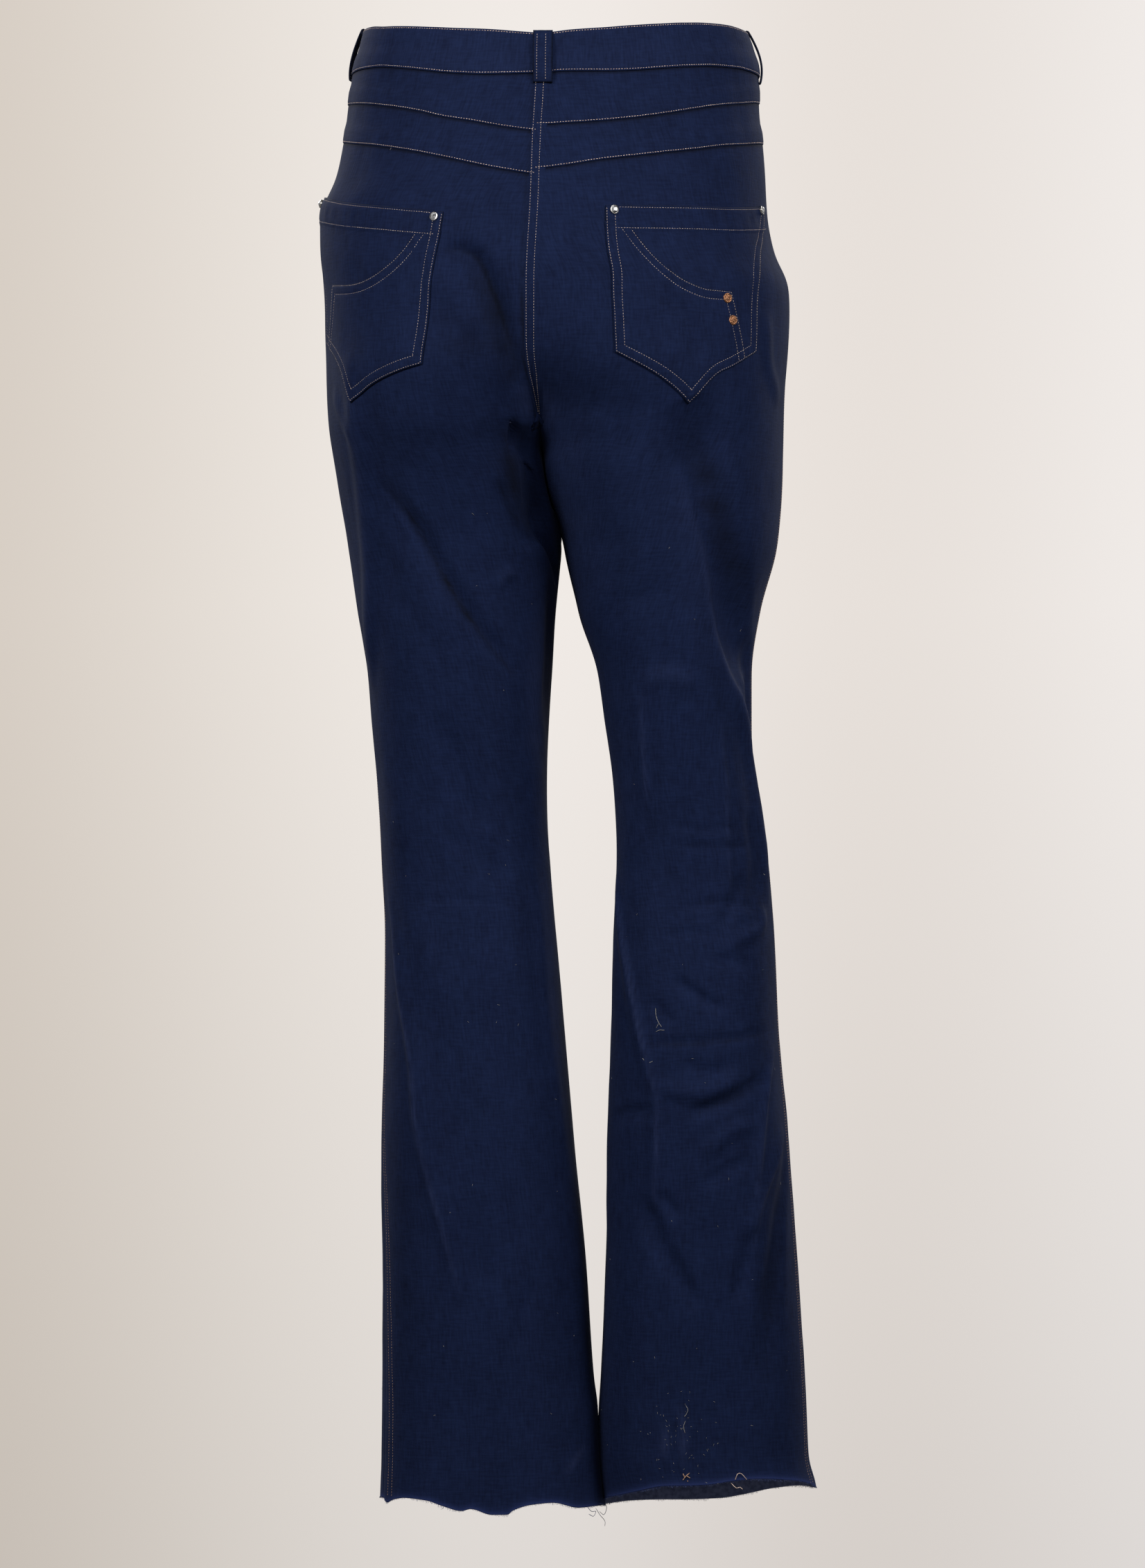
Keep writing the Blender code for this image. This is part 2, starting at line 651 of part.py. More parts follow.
def main():
    for old in list(bpy.data.objects):
        bpy.data.objects.remove(old)
    twill = material("twill", (0.012, 0.022, 0.075), 0.85)
    copper = material("copper", (0.62, 0.27, 0.12), 0.35, 1.0)
    stone = material("clear_stone", (0.85, 0.87, 0.88), 0.08)
    dark_copper = material("dark_copper", (0.50, 0.24, 0.12), 0.4, 1.0)

    for side in SIDES:
        panel(side, "back", LOWER_SEAM, (), BACK_COLUMNS, twill)
        panel(side, "front", BAND_SEAM, (-0.056, -0.087), FRONT_COLUMNS, twill)
        yoke("yoke_upper", side, BAND_SEAM, UPPER_SEAM, twill)
        yoke("yoke_lower", side, UPPER_SEAM, LOWER_SEAM, twill)
    pockets = {side: pocket(side, twill) for side in SIDES}
    overlays = {side: pocket_overlay(side, twill) for side in SIDES}
    band = waistband(twill)
    fly_shield(twill)

    def centre_spot(across, height, out):
        return across_seam("back", across + CENTRE_LOOP_ASIDE, height, out)

    belt_loop("belt_loop_centre_back", centre_spot, BAND_TOP["right back"][1], twill)
    for side in SIDES:
        for name, face, distance in (
            ("side", "back", SIDE_LOOP_PLACE),
            ("front", "front", FRONT_LOOP_PLACE),
        ):
            share = distance / girth(side, face, 0.0)
            top = seam_height(BAND_TOP, side, face, share)

            def spot(across, height, out, side=side, face=face, distance=distance):
                return on_panel(side, distance + across, height, out, face)

            belt_loop(f"belt_loop_{side}_{name}", spot, top, twill)

    def trim(name, carrier, side, spot, *sizes):
        button(name, carrier, lambda out: on_panel(side, *spot, out), *sizes)

    for side in SIDES:
        for end in ("in", "out"):
            spot = POCKETS[side]["stud_" + end]
            sizes = STUD_RADIUS, STUD_HEIGHT, STUD_CROWN
            trim(f"stone_stud_{side}_{end}", pockets[side], side, spot, *sizes, stone)
    for name in ("upper", "lower"):
        spot = POCKETS["right"]["rivet_" + name]
        sizes = RIVET_RADIUS, RIVET_HEIGHT, RIVET_CROWN
        trim(f"copper_rivet_{name}", overlays["right"], "right", spot, *sizes, copper)

    middle = (BAND_TOP["right front"][1] + BAND_SEAM["right front"][1]) / 2

    def button_spot(out):
        return across_seam("front", BAND_LAP / 2, middle, out)

    sizes = BUTTON_RADIUS, BUTTON_HEIGHT, BUTTON_CROWN
    button("waist_button", band, button_spot, *sizes, dark_copper)


main()
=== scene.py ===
import math

import bmesh
import bpy
import numpy as np
from mathutils import Matrix, Vector
from mathutils.bvhtree import BVHTree


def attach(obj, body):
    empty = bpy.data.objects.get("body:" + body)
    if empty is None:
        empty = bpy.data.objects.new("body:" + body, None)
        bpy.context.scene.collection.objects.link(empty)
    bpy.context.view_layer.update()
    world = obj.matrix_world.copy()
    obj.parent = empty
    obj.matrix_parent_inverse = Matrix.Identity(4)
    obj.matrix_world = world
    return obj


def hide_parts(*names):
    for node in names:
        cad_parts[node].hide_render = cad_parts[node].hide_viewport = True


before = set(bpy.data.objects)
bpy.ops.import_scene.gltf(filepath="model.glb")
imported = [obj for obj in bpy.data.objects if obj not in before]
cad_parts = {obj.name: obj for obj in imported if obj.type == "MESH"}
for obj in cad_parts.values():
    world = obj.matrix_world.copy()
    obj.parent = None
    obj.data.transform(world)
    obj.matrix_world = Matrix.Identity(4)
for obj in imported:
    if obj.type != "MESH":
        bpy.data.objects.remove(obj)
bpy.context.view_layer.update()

draw = np.random.default_rng(11)
hands = {"left": -1, "right": 1}
otherFace = {"back": "front", "front": "back"}

# Metres, and millimetres in the tables. +X is the wearer's right, +Y the front, +Z up, and the origin
# is the middle of the waist.
# A spot on the cloth is its distance round from the outseam, on one side's back or front, and its height.


def smoothCurve(keys, values):  # through the values at rising keys, with no overshoot
    keys, values = np.array(keys, float), np.array(values, float)
    steps = np.diff(keys)
    rises = np.diff(values) / steps
    product = rises[1:] * rises[:-1]
    total = np.where(product > 0, rises[1:] + rises[:-1], 1)
    slopes = np.concatenate([rises[:1], np.where(product > 0, 2 * product / total, 0), rises[-1:]])

    def at(key):
        key = np.clip(key, keys[0], keys[-1])
        i = np.clip(np.searchsorted(keys, key, side="right") - 1, 0, len(steps) - 1)
        t = (key - keys[i]) / steps[i]
        bend = t * t * (3 - 2 * t) * (values[i + 1] - values[i])
        return values[i] + bend + t * (1 - t) * steps[i] * ((1 - t) * slopes[i] - t * slopes[i + 1])

    return at


def metres(millimetres):  # rounded, so that they are the same as lengths written in metres
    return np.round(np.asarray(millimetres, float) / 1000, 7)


def smoothTable(names, rows, degrees=0):  # smooth functions of height, level beyond their ends
    table = np.array(rows, float).T
    lengths = len(table) - degrees
    table = [*metres(table[:lengths]), *table[lengths:]]
    curves = {name: smoothCurve(table[0], values) for name, values in zip(names.split(), table[1:])}
    return {name: lambda height, curve=curve: curve(-height) for name, curve in curves.items()}


# The outline from behind, by millimetres below the waist: the outer edges, the middle of each leg or
# cheek, and the plane between them
outline = smoothTable(
    "left leftAxis middle rightAxis right",
    (
        (-10, -147, -10, -10, -10, 144),
        (0, -149, -10, -10, -10, 147),
        (33, -158, -12, -12, -12, 157),
        (56, -161, -13, -13, -13, 157),
        (87, -165, -15, -15, -15, 160),
        (115, -171, -17, -16, -15, 162),
        (142, -182, -21, -17, -14, 163),
        (175, -182, -28, -19, -11, 169),
        (200, -180, -36, -20, -8, 180),
        (225, -179, -47, -20, 6, 181),
        (250, -178, -61, -20, 27, 180),
        (275, -178, -75, -17, 50, 178),
        (300, -177, -82, -13, 67, 177),
        (350, -169, -80, -8, 79, 176),
        (400, -161, -78, 5, 89, 172),
        (450, -154, -77, 9, 88, 159),
        (500, -146, -74.5, 15, 92.5, 152),
        (550, -142, -74, 18, 96, 152),
        (600, -138, -72.5, 20, 102, 158),
        (650, -135.5, -70, 21, 106, 165),
        (700, -133, -66.5, 22, 107, 169),
        (780, -134, -63.5, 24, 108, 173),
        (860, -136, -61, 27, 110, 180),
        (950, -135, -56, 30, 113, 187),
        (1050, -135, -52.5, 32, 114, 193.5),
        (1070, -135.3, -51, 32.5, 113.8, 194.5),
        (1112, -136, -50.5, 34, 114.8, 196.2),
        (1127, -136.6, -50, 35.5, 118, 201.5),
        (1160, -138, -48.8, 39.5, 121, 204),
    ),
)
# Depth behind and before the outseams, how far the left leg stands ahead, how far the front's middle
# lies aside, and the turn of the outseams towards the back in degrees
depths = smoothTable(
    "back front stride shift leftTurn rightTurn",
    (
        (-10, -102, 99, 0, 22, -14, -6),
        (33, -109, 105, 0, 26, -14, -6),
        (87, -121, 110, 0, 30, -14, -6),
        (145, -133, 112, 0, 34, -14, -6),
        (200, -140, 111, 0, 34, -14, -5),
        (250, -138, 108, 0, 22, -13, -4),
        (300, -125, 104, 0, 0, -12, -2),
        (350, -110, 99, 6, 0, -11, 1),
        (400, -101, 95, 10, 0, -10, 4),
        (500, -90, 87, 10, 0, -7, 6),
        (600, -78, 80, 10, 0, -3, 5),
        (650, -75, 79, 10, 0, 0, 4),
        (750, -83, 66, 10, 0, 6, 3),
        (850, -85, 61, 9, 0, 12, 5),
        (950, -81, 63, 7, 0, 16, 8),
        (1050, -76, 69, 5, 0, 18, 10),
        (1160, -72, 75, 4, 0, 18, 10),
    ),
    degrees=2,
)
figure = {
    "squareness": (2.15, 2.50),  # at the waist and in the lower legs, where 2 is an ellipse
    "squarer": (-0.42, -0.67),
    "crotch": -0.342,
    "crotchBend": -0.311,
    "crotchJoin": 0.010,
    "levelStep": 0.002,
    "soften": 3.0,  # levels over which the shape is smoothed
}
levels = np.arange(0.012, -1.162, -figure["levelStep"])


def pressed(height):  # 0 where the two sides meet at the centre seams, 1 from the crotch down
    return np.clip((figure["crotchBend"] - height) / (figure["crotchBend"] - figure["crotch"]), 0, 1)


def squareness(height):
    (high, low), (start, end) = figure["squareness"], figure["squarer"]
    return high + (low - high) * np.clip((start - height) / (start - end), 0, 1)


def cheek(side, face, height):  # where one side's cloth stops, and the middle of its cheek or leg
    shift = depths["shift"](height) if face == "front" else 0.0
    wall = outline["middle"](height) + shift
    rounds = {}
    for name in hands:
        axis = outline[name + "Axis"](height) + shift
        rounds[name] = (axis - wall) / (outline[name](height) - axis)
    joined = np.clip((height - figure["crotch"]) / figure["crotchJoin"], 0, 1)
    roundness = rounds[side] + (sum(rounds.values()) / 2 - rounds[side]) * joined
    return wall, (wall + roundness * outline[side](height)) / (1 + roundness)


def softened(values):  # smoothed from level to level
    reach = int(3 * figure["soften"])
    weights = np.exp(-0.5 * (np.arange(-reach, reach + 1) / figure["soften"]) ** 2)
    weights /= weights.sum()
    edge = [(reach, reach)] + [(0, 0)] * (values.ndim - 1)
    wide = np.pad(values, edge, mode="reflect", reflect_type="odd")
    return sum(weight * wide[i : i + len(values)] for i, weight in enumerate(weights))


def layOut(side, face, roundSteps=200, flatSteps=24, shares=301):
    height = levels[:, None]
    outer = outline[side](height)
    stride = -hands[side] * depths["stride"](height)
    turn = np.radians(depths[side + "Turn"](height))
    wall, axis = cheek(side, face, height)
    farAxis = cheek(side, otherFace[face], height)[1]
    share = np.clip((axis - wall) / (outer - axis), -1, 1)
    last = math.pi - np.arccos(np.sign(share) * np.abs(share) ** (squareness(height) / 2))
    first = turn if face == "back" else -turn
    angle = first + (last - first) * np.linspace(0, 1, roundSteps)
    near = angle >= 0
    power = 2 / squareness(height)
    middle = np.where(near, axis, farAxis)
    across = np.sign(np.cos(angle)) * np.abs(np.cos(angle)) ** power
    reach = np.where(near, depths[face](height), depths[otherFace[face]](height))
    x = middle + (outer - middle) * across
    y = stride + reach * np.abs(np.sin(angle)) ** power
    outward = -1 if face == "back" else 1
    deep = pressed(height) ** 2 * (3 - 2 * pressed(height))
    flat = np.where(share < 1, deep * np.maximum(outward * (y[:, -1:] - stride), 0), 0)
    steps = np.linspace(0, 1, flatSteps)[1:]
    x = np.hstack([x, np.repeat(x[:, -1:], flatSteps - 1, axis=1)])
    y = np.hstack([y, y[:, -1:] - outward * flat * steps])
    lengths = np.hstack([np.zeros_like(height), np.cumsum(np.hypot(np.diff(x), np.diff(y)), axis=1)])
    even = np.linspace(0, 1, shares)
    points = np.empty((len(levels), shares, 3))
    for i, row in enumerate(lengths):
        points[i, :, 0] = np.interp(even * row[-1], row, x[i])
        points[i, :, 1] = np.interp(even * row[-1], row, y[i])
    points[:, :, 2] = height
    points[:, :, :2] = softened(points[:, :, :2])
    sideways, down = np.gradient(points, axis=1), np.gradient(points, axis=0)
    normals = np.cross(sideways, -down)
    normals /= np.linalg.norm(normals, axis=2, keepdims=True)
    if (side == "right") == (face == "back"):
        normals = -normals
    return {
        "points": points,
        "normals": normals,
        "girth": softened(lengths[:, -1]),
        "flat": softened(flat[:, 0]),
    }


body = {(side, face): layOut(side, face) for side in hands for face in otherFace}
print("the body's surfaces are laid out")


def girth(side, face, height):
    return np.interp(-height, -levels, body[side, face]["girth"])


def spotOn(side, face, distance, height):  # the smooth body's point and outward normal
    distance, height = np.broadcast_arrays(np.asarray(distance, float), np.asarray(height, float))
    table = body[side, face]
    row = np.clip((levels[0] - height) / figure["levelStep"], 0, len(levels) - 1.001)
    column = np.clip(distance / girth(side, face, height), 0, 1) * (table["points"].shape[1] - 1.001)
    i, j = row.astype(int), column.astype(int)
    t, s = (row - i)[..., None], (column - j)[..., None]
    found = []
    for name in ("points", "normals"):
        values = table[name]
        upper = values[i, j] * (1 - s) + values[i, j + 1] * s
        lower = values[i + 1, j] * (1 - s) + values[i + 1, j + 1] * s
        found.append(upper * (1 - t) + lower * t)
    return found[0], found[1] / np.linalg.norm(found[1], axis=-1, keepdims=True)


# Seams that run round the body: heights in millimetres at shares of the way from the outseam inwards
seamShares = (0, 0.15, 0.3, 0.4, 0.5, 0.6, 0.7, 0.8, 0.9, 1)
bandTop = {
    "left back": (0.5, 0.4, 0.3, -1.2, -2.2, -3.6, -5.0, -6.0, -8.0, -10.0),
    "right back": (-3.0, -1.8, 0.9, 1.3, 0.3, -1.7, -3.4, -5.4, -7.2, -10.0),
    "left front": (0.5, -1, -6, -10, -15, -20, -24, -27, -29, -30),
    "right front": (-3, -4, -8, -12, -16, -21, -24, -27, -29, -30),
}
bandSeam = {
    "left back": (-36.0, -34.6, -32.9, -32.8, -34.5, -37.3, -40.0, -41.4, -41.5, -41.0),
    "right back": (-37.0, -35.2, -32.8, -32.8, -34.2, -36.3, -38.4, -39.4, -39.5, -41.0),
    "left front": (-36, -37, -41, -45, -49, -54, -58, -61, -63, -64),
    "right front": (-37, -38, -42, -46, -50, -54, -58, -61, -63, -64),
}
upperSeam = {
    "left back": (-57.5, -58.3, -60.0, -62.0, -65.0, -69.0, -74.5, -78.5, -83.0, -86.5),
    "right back": (-56.5, -57.9, -61.0, -63.8, -67.8, -72.0, -75.5, -78.2, -80.0, -81.5),
}
lowerSeam = {
    "left back": (-86.0, -87.5, -90.6, -92.9, -96.0, -100.0, -105.0, -110.5, -116.0, -120.0),
    "right back": (-88.5, -89.8, -92.8, -95.2, -98.8, -101.8, -105.0, -108.3, -112.5, -116.0),
}
hemShares = {
    "left back": (0, 0.03, 0.07, 0.14, 0.22, 0.28, 0.34, 0.37, 0.44, 0.49, 0.51, 0.57, 0.64, 0.74, 0.81, 1),
    "right back": (0, 0.04, 0.19, 0.30, 0.38, 0.48, 0.60, 0.70, 0.79, 0.90, 1),
    "left front": (0, 0.25, 0.5, 0.75, 1),
    "right front": (0, 0.13, 0.23, 0.34, 0.43, 0.50, 0.60, 0.75, 0.85, 1),
}
hem = {
    "left back": (
        -1137.5, -1141.2, -1138.3, -1136.1, -1137.3, -1141.4, -1144.9, -1143.2, -1147.7,
        -1147.7, -1144.2, -1140.1, -1138.9, -1143.7, -1143.5, -1144.5,
    ),
    "right back": (
        -1129.0, -1126.6, -1121.3, -1119.8, -1121.2, -1124.3, -1125.2, -1129.7, -1134.1, -1138.0, -1144.5,
    ),
    "left front": (-1137.5, -1141.0, -1142.0, -1143.0, -1144.5),
    "right front": (
        -1129.0, -1132.6, -1133.3, -1136.9, -1142.3, -1145.5, -1146.6, -1146.3, -1146.5, -1144.5,
    ),
}  # fmt: skip


def seamHeight(line, side, face, share):
    return smoothCurve(seamShares, line[f"{side} {face}"])(share) / 1000


def hemHeight(side, face, share):
    return smoothCurve(hemShares[f"{side} {face}"], hem[f"{side} {face}"])(share) / 1000


def spotsFrom(numbers):  # spots on the cloth, from pairs of millimetres round and below the waist
    return metres(np.reshape(numbers, (-1, 2))) * (1, -1)


# Folds listed one by one: how far each spreads, how far it stands out or sinks in, how much steeper it is
# on one side, and the spots that it passes
folds = {
    "left back": (
        (19, -5.2, 0.35, 203, 180, 227, 191, 250, 231, 263, 283),
        (18, 1.4, 0, 190, 196, 214, 212, 232, 244),
        (11, -3.6, 0.35, 116, 352, 135, 380, 150, 425, 167, 465, 190, 504),
        (22, 1.6, 0, 100, 372, 130, 430, 150, 475),
        (26, -5.8, 0, 256, 308, 254, 335, 247, 370, 240, 400),
        (12, -3.4, 0, 268, 318, 265, 342, 258, 371, 244, 397),
        (9, -1.2, 0, 252, 313, 259, 328, 257, 346, 242, 372),
        (6, -3, 0.2, 252, 304, 248, 318, 240, 334),
        (7, 2.6, 0, 246, 325, 237, 350, 230, 375),
        (10, -2.6, 0.2, 217, 352, 215, 375, 224, 398, 244, 396),
        (8, -3.6, 0, 248, 390, 268, 413, 284, 430),
        (10, 1.6, 0, 288, 372, 287, 387, 286, 402),
        (20, -1.6, 0.2, 262, 415, 255, 461, 238, 514, 223, 540),
        (6, 1.2, 0.3, 192, 434, 201, 424, 213, 423),
        (18, 3, -0.2, 112, 254, 114, 302, 90, 387, 70, 450, 40, 512),
        (20, -1.4, 0, 136, 290, 112, 390, 92, 450),
        (12, 1.2, 0, 74, 281, 107, 323),
        (20, -2, 0.2, 121, 530, 122, 574, 131, 624),
        (11, 2.1, 0.4, 30, 660, 44, 729, 57, 794, 60, 850, 70, 915, 83, 984),
        (22, -1.4, 0, 60, 700, 82, 800, 96, 900),
        (20, -1.2, 0, 118, 620, 142, 664),
        (10, -1.2, 0.2, 122, 1024, 131, 995, 140, 966),
        (14, 1, 0.2, 170, 640, 176, 760, 190, 900),
        (7, -2.4, 0.4, 203, 177, 219, 178, 232, 185, 244, 210, 256, 244, 266, 275),
        (10, -0.9, 0.3, 126, 547, 131, 587, 131, 620),
        (6, -0.6, 0.3, 65, 677, 102, 675, 141, 679),
    ),
    "right back": (
        (36, -8.5, 0.2, 160, 290, 126, 360, 92, 415, 62, 462, 34, 505),
        (34, 3, 0, 190, 300, 168, 370, 150, 440),
        (13, 2.6, 0.5, 150, 335, 129, 372, 95, 435, 62, 500),
        (12, 3, 0.4, 80, 470, 62, 500, 30, 562, 28, 680),
        (14, -3, 0, 30, 470, 10, 640),
        (10, 1.4, 0.4, 137, 515, 132, 558, 133, 604),
        (11, 2.8, 0.5, 186, 650, 171, 720, 161, 764, 152, 798, 145, 832),
        (8, 1.8, 0.5, 145, 825, 147, 860, 149, 912),
        (10, -1.8, 0.4, 200, 842, 172, 836, 148, 834),
        (9, -1.3, 0.2, 98, 722, 82, 720, 62, 726),
        (8, -1.9, 0.3, 130, 732, 111, 746, 90, 758),
        (8, -1.4, 0.3, 147, 750, 138, 760, 130, 770),
        (5, -1.3, 0.4, 156, 783, 118, 781, 85, 779, 47, 773),
        (9, -1.2, 0, 128, 800, 100, 805, 85, 795),
        (9, -2.4, 0.4, 124, 838, 100, 829, 56, 808),
        (11, 2.2, 0, 146, 818, 112, 822, 78, 810),
        (10, -1.2, 0.3, 112, 894, 97, 882, 74, 872),
        (10, 1.6, 0, 112, 872, 90, 852, 64, 846),
        (14, -2.6, 0.2, 160, 900, 143, 938, 125, 967, 114, 990),
        (7, -1.6, 0, 145, 898, 130, 918),
        (9, 2.2, 0.4, 24, 852, 52, 886, 67, 914, 70, 950),
        (7, 1.4, 0.3, 48, 800, 62, 861, 68, 905),
        (11, -2.2, 0, 70, 925, 78, 955, 83, 985),
        (18, -2, 0.2, 40, 880, 50, 968, 60, 1050),
        (10, -2.2, 0.2, 60, 655, 74, 679, 86, 698),
        (9, 2, 0, 84, 708, 49, 696, 38, 680),
        (12, 1.4, 0, 84, 222, 79, 261, 49, 291),
        (10, -1.4, 0.3, 183, 206, 162, 237, 153, 264),
        (24, 1.6, 0, 230, 300, 205, 345, 196, 400),
        (5, -0.7, 0.3, 119, 615, 92, 619, 57, 616),
        (6, -0.6, 0.3, 117, 630, 83, 633, 44, 630),
        (6, -0.9, 0.3, 116, 679, 82, 675, 48, 679),
        (5, -0.7, 0.3, 133, 701, 99, 698, 65, 707),
        (9, 1.1, 0.4, 70, 534, 68, 587, 72, 640, 74, 693),
        (12, -1.6, 0, 46, 604, 44, 647, 62, 683),
        (12, 1.2, 0, 138, 508, 116, 502, 94, 510),
        (8, 1.6, 0.4, 34, 787, 56, 827, 65, 866, 70, 906),
        (13, -2.4, 0.2, 14, 860, 33, 907, 49, 960, 57, 1000),
    ),
    "left front": (
        (16, -3.4, 0.3, 80, 215, 140, 240, 190, 275),
        (12, 2.6, 0.2, 100, 255, 160, 268, 205, 298),
        (14, -2.6, 0.2, 110, 292, 160, 300, 215, 318),
        (16, 2, 0.3, 60, 340, 70, 430, 62, 520),
        (14, -2.8, 0.3, 40, 590, 100, 607, 170, 632),
        (12, 1.8, 0.2, 60, 630, 110, 644, 165, 650),
        (12, -1.8, 0.2, 70, 660, 110, 672, 150, 670),
        (11, 2.2, 0.4, 110, 700, 102, 830, 110, 980),
        (16, -1.6, 0, 150, 860, 130, 940, 136, 1040),
    ),
    "right front": (
        (16, -3.2, 0.3, 80, 220, 140, 247, 195, 280),
        (12, 2.6, 0.2, 110, 262, 160, 275, 215, 304),
        (14, -2.4, 0.2, 100, 300, 160, 306, 220, 325),
        (16, 2, 0.3, 70, 350, 86, 440, 76, 540),
        (14, -3, 0.3, 50, 640, 110, 624, 170, 596),
        (12, 2, 0.2, 60, 668, 110, 655, 160, 632),
        (12, -2, 0.2, 70, 700, 110, 690, 150, 668),
        (11, 2.2, 0.4, 118, 720, 108, 850, 118, 1000),
        (16, -1.8, 0, 60, 860, 76, 940, 70, 1040),
    ),
}
foldEdge = 0.020  # from a panel's edge inwards, over which a fold dies out
foldStrength = 1.4  # on every rise above
foldEnds = 0.7  # 1 fades a fold along its length like a sine wave; less keeps it strong for longer
foldFull = 1.6  # and over 1 keeps its middle even


def smoothPath(spots, each=8):  # a smooth line through a few spots
    spots = np.asarray(spots, float)
    ends = [2 * spots[0] - spots[1], *spots, 2 * spots[-1] - spots[-2]]
    made = []
    for a, b, c, d in zip(ends, ends[1:], ends[2:], ends[3:]):
        slope, square, cube = c - a, 2 * a - 5 * b + 4 * c - d, 3 * b - a - 3 * c + d
        for t in np.arange(each) / each:
            made.append(0.5 * (2 * b + slope * t + square * t**2 + cube * t**3))
    return np.array([*made, spots[-1]])


def fromPath(path, distance, height):  # signed distance off a path, and the share along it
    best = np.full(distance.shape, 1e9)
    side = np.ones(distance.shape)
    along = np.zeros(distance.shape)
    starts, steps = path[:-1], np.diff(path, axis=0)
    lengths = np.linalg.norm(steps, axis=1)
    total, done = lengths.sum(), 0.0
    for (ax, ay), (dx, dy), length in zip(starts, steps, lengths):
        t = ((distance - ax) * dx + (height - ay) * dy) / length**2
        t = np.clip(t, 0, 1)
        ox, oy = distance - ax - dx * t, height - ay - dy * t
        off = np.hypot(ox, oy)
        nearer = off < best
        best = np.where(nearer, off, best)
        side = np.where(nearer, np.sign(dx * oy - dy * ox), side)
        along = np.where(nearer, (done + t * length) / total, along)
        done += length
    return best * side, along


def around(path, reach, distance, height):  # which spots lie close enough to a path to matter
    low, high = path.min(axis=0) - reach, path.max(axis=0) + reach
    return (distance > low[0]) & (distance < high[0]) & (height > low[1]) & (height < high[1])


foldPaths = {
    name: [
        (smoothPath(spotsFrom(spots)), metres(reach), foldStrength * metres(rise), lean)
        for reach, rise, lean, *spots in rows
    ]
    for name, rows in folds.items()
}


def relief(side, face, distance, height):  # how far the folds move the cloth out
    total = np.zeros(distance.shape)
    for path, reach, rise, lean in foldPaths[f"{side} {face}"]:
        near = around(path, reach * (1 + abs(lean)), distance, height)
        if not near.any():
            continue
        off, along = fromPath(path, distance[near], height[near])
        off = np.abs(off) / (reach * (1 + lean * np.sign(off)))
        spread = np.where(off < 1, (1 + np.cos(math.pi * np.clip(off, 0, 1))) / 2, 0)
        total[near] += rise * spread * np.clip(foldFull * np.sin(math.pi * along), 0, 1) ** foldEnds
    edge = np.minimum(distance, girth(side, face, height) - distance) / foldEdge
    return total * np.clip(edge, 0, 1)
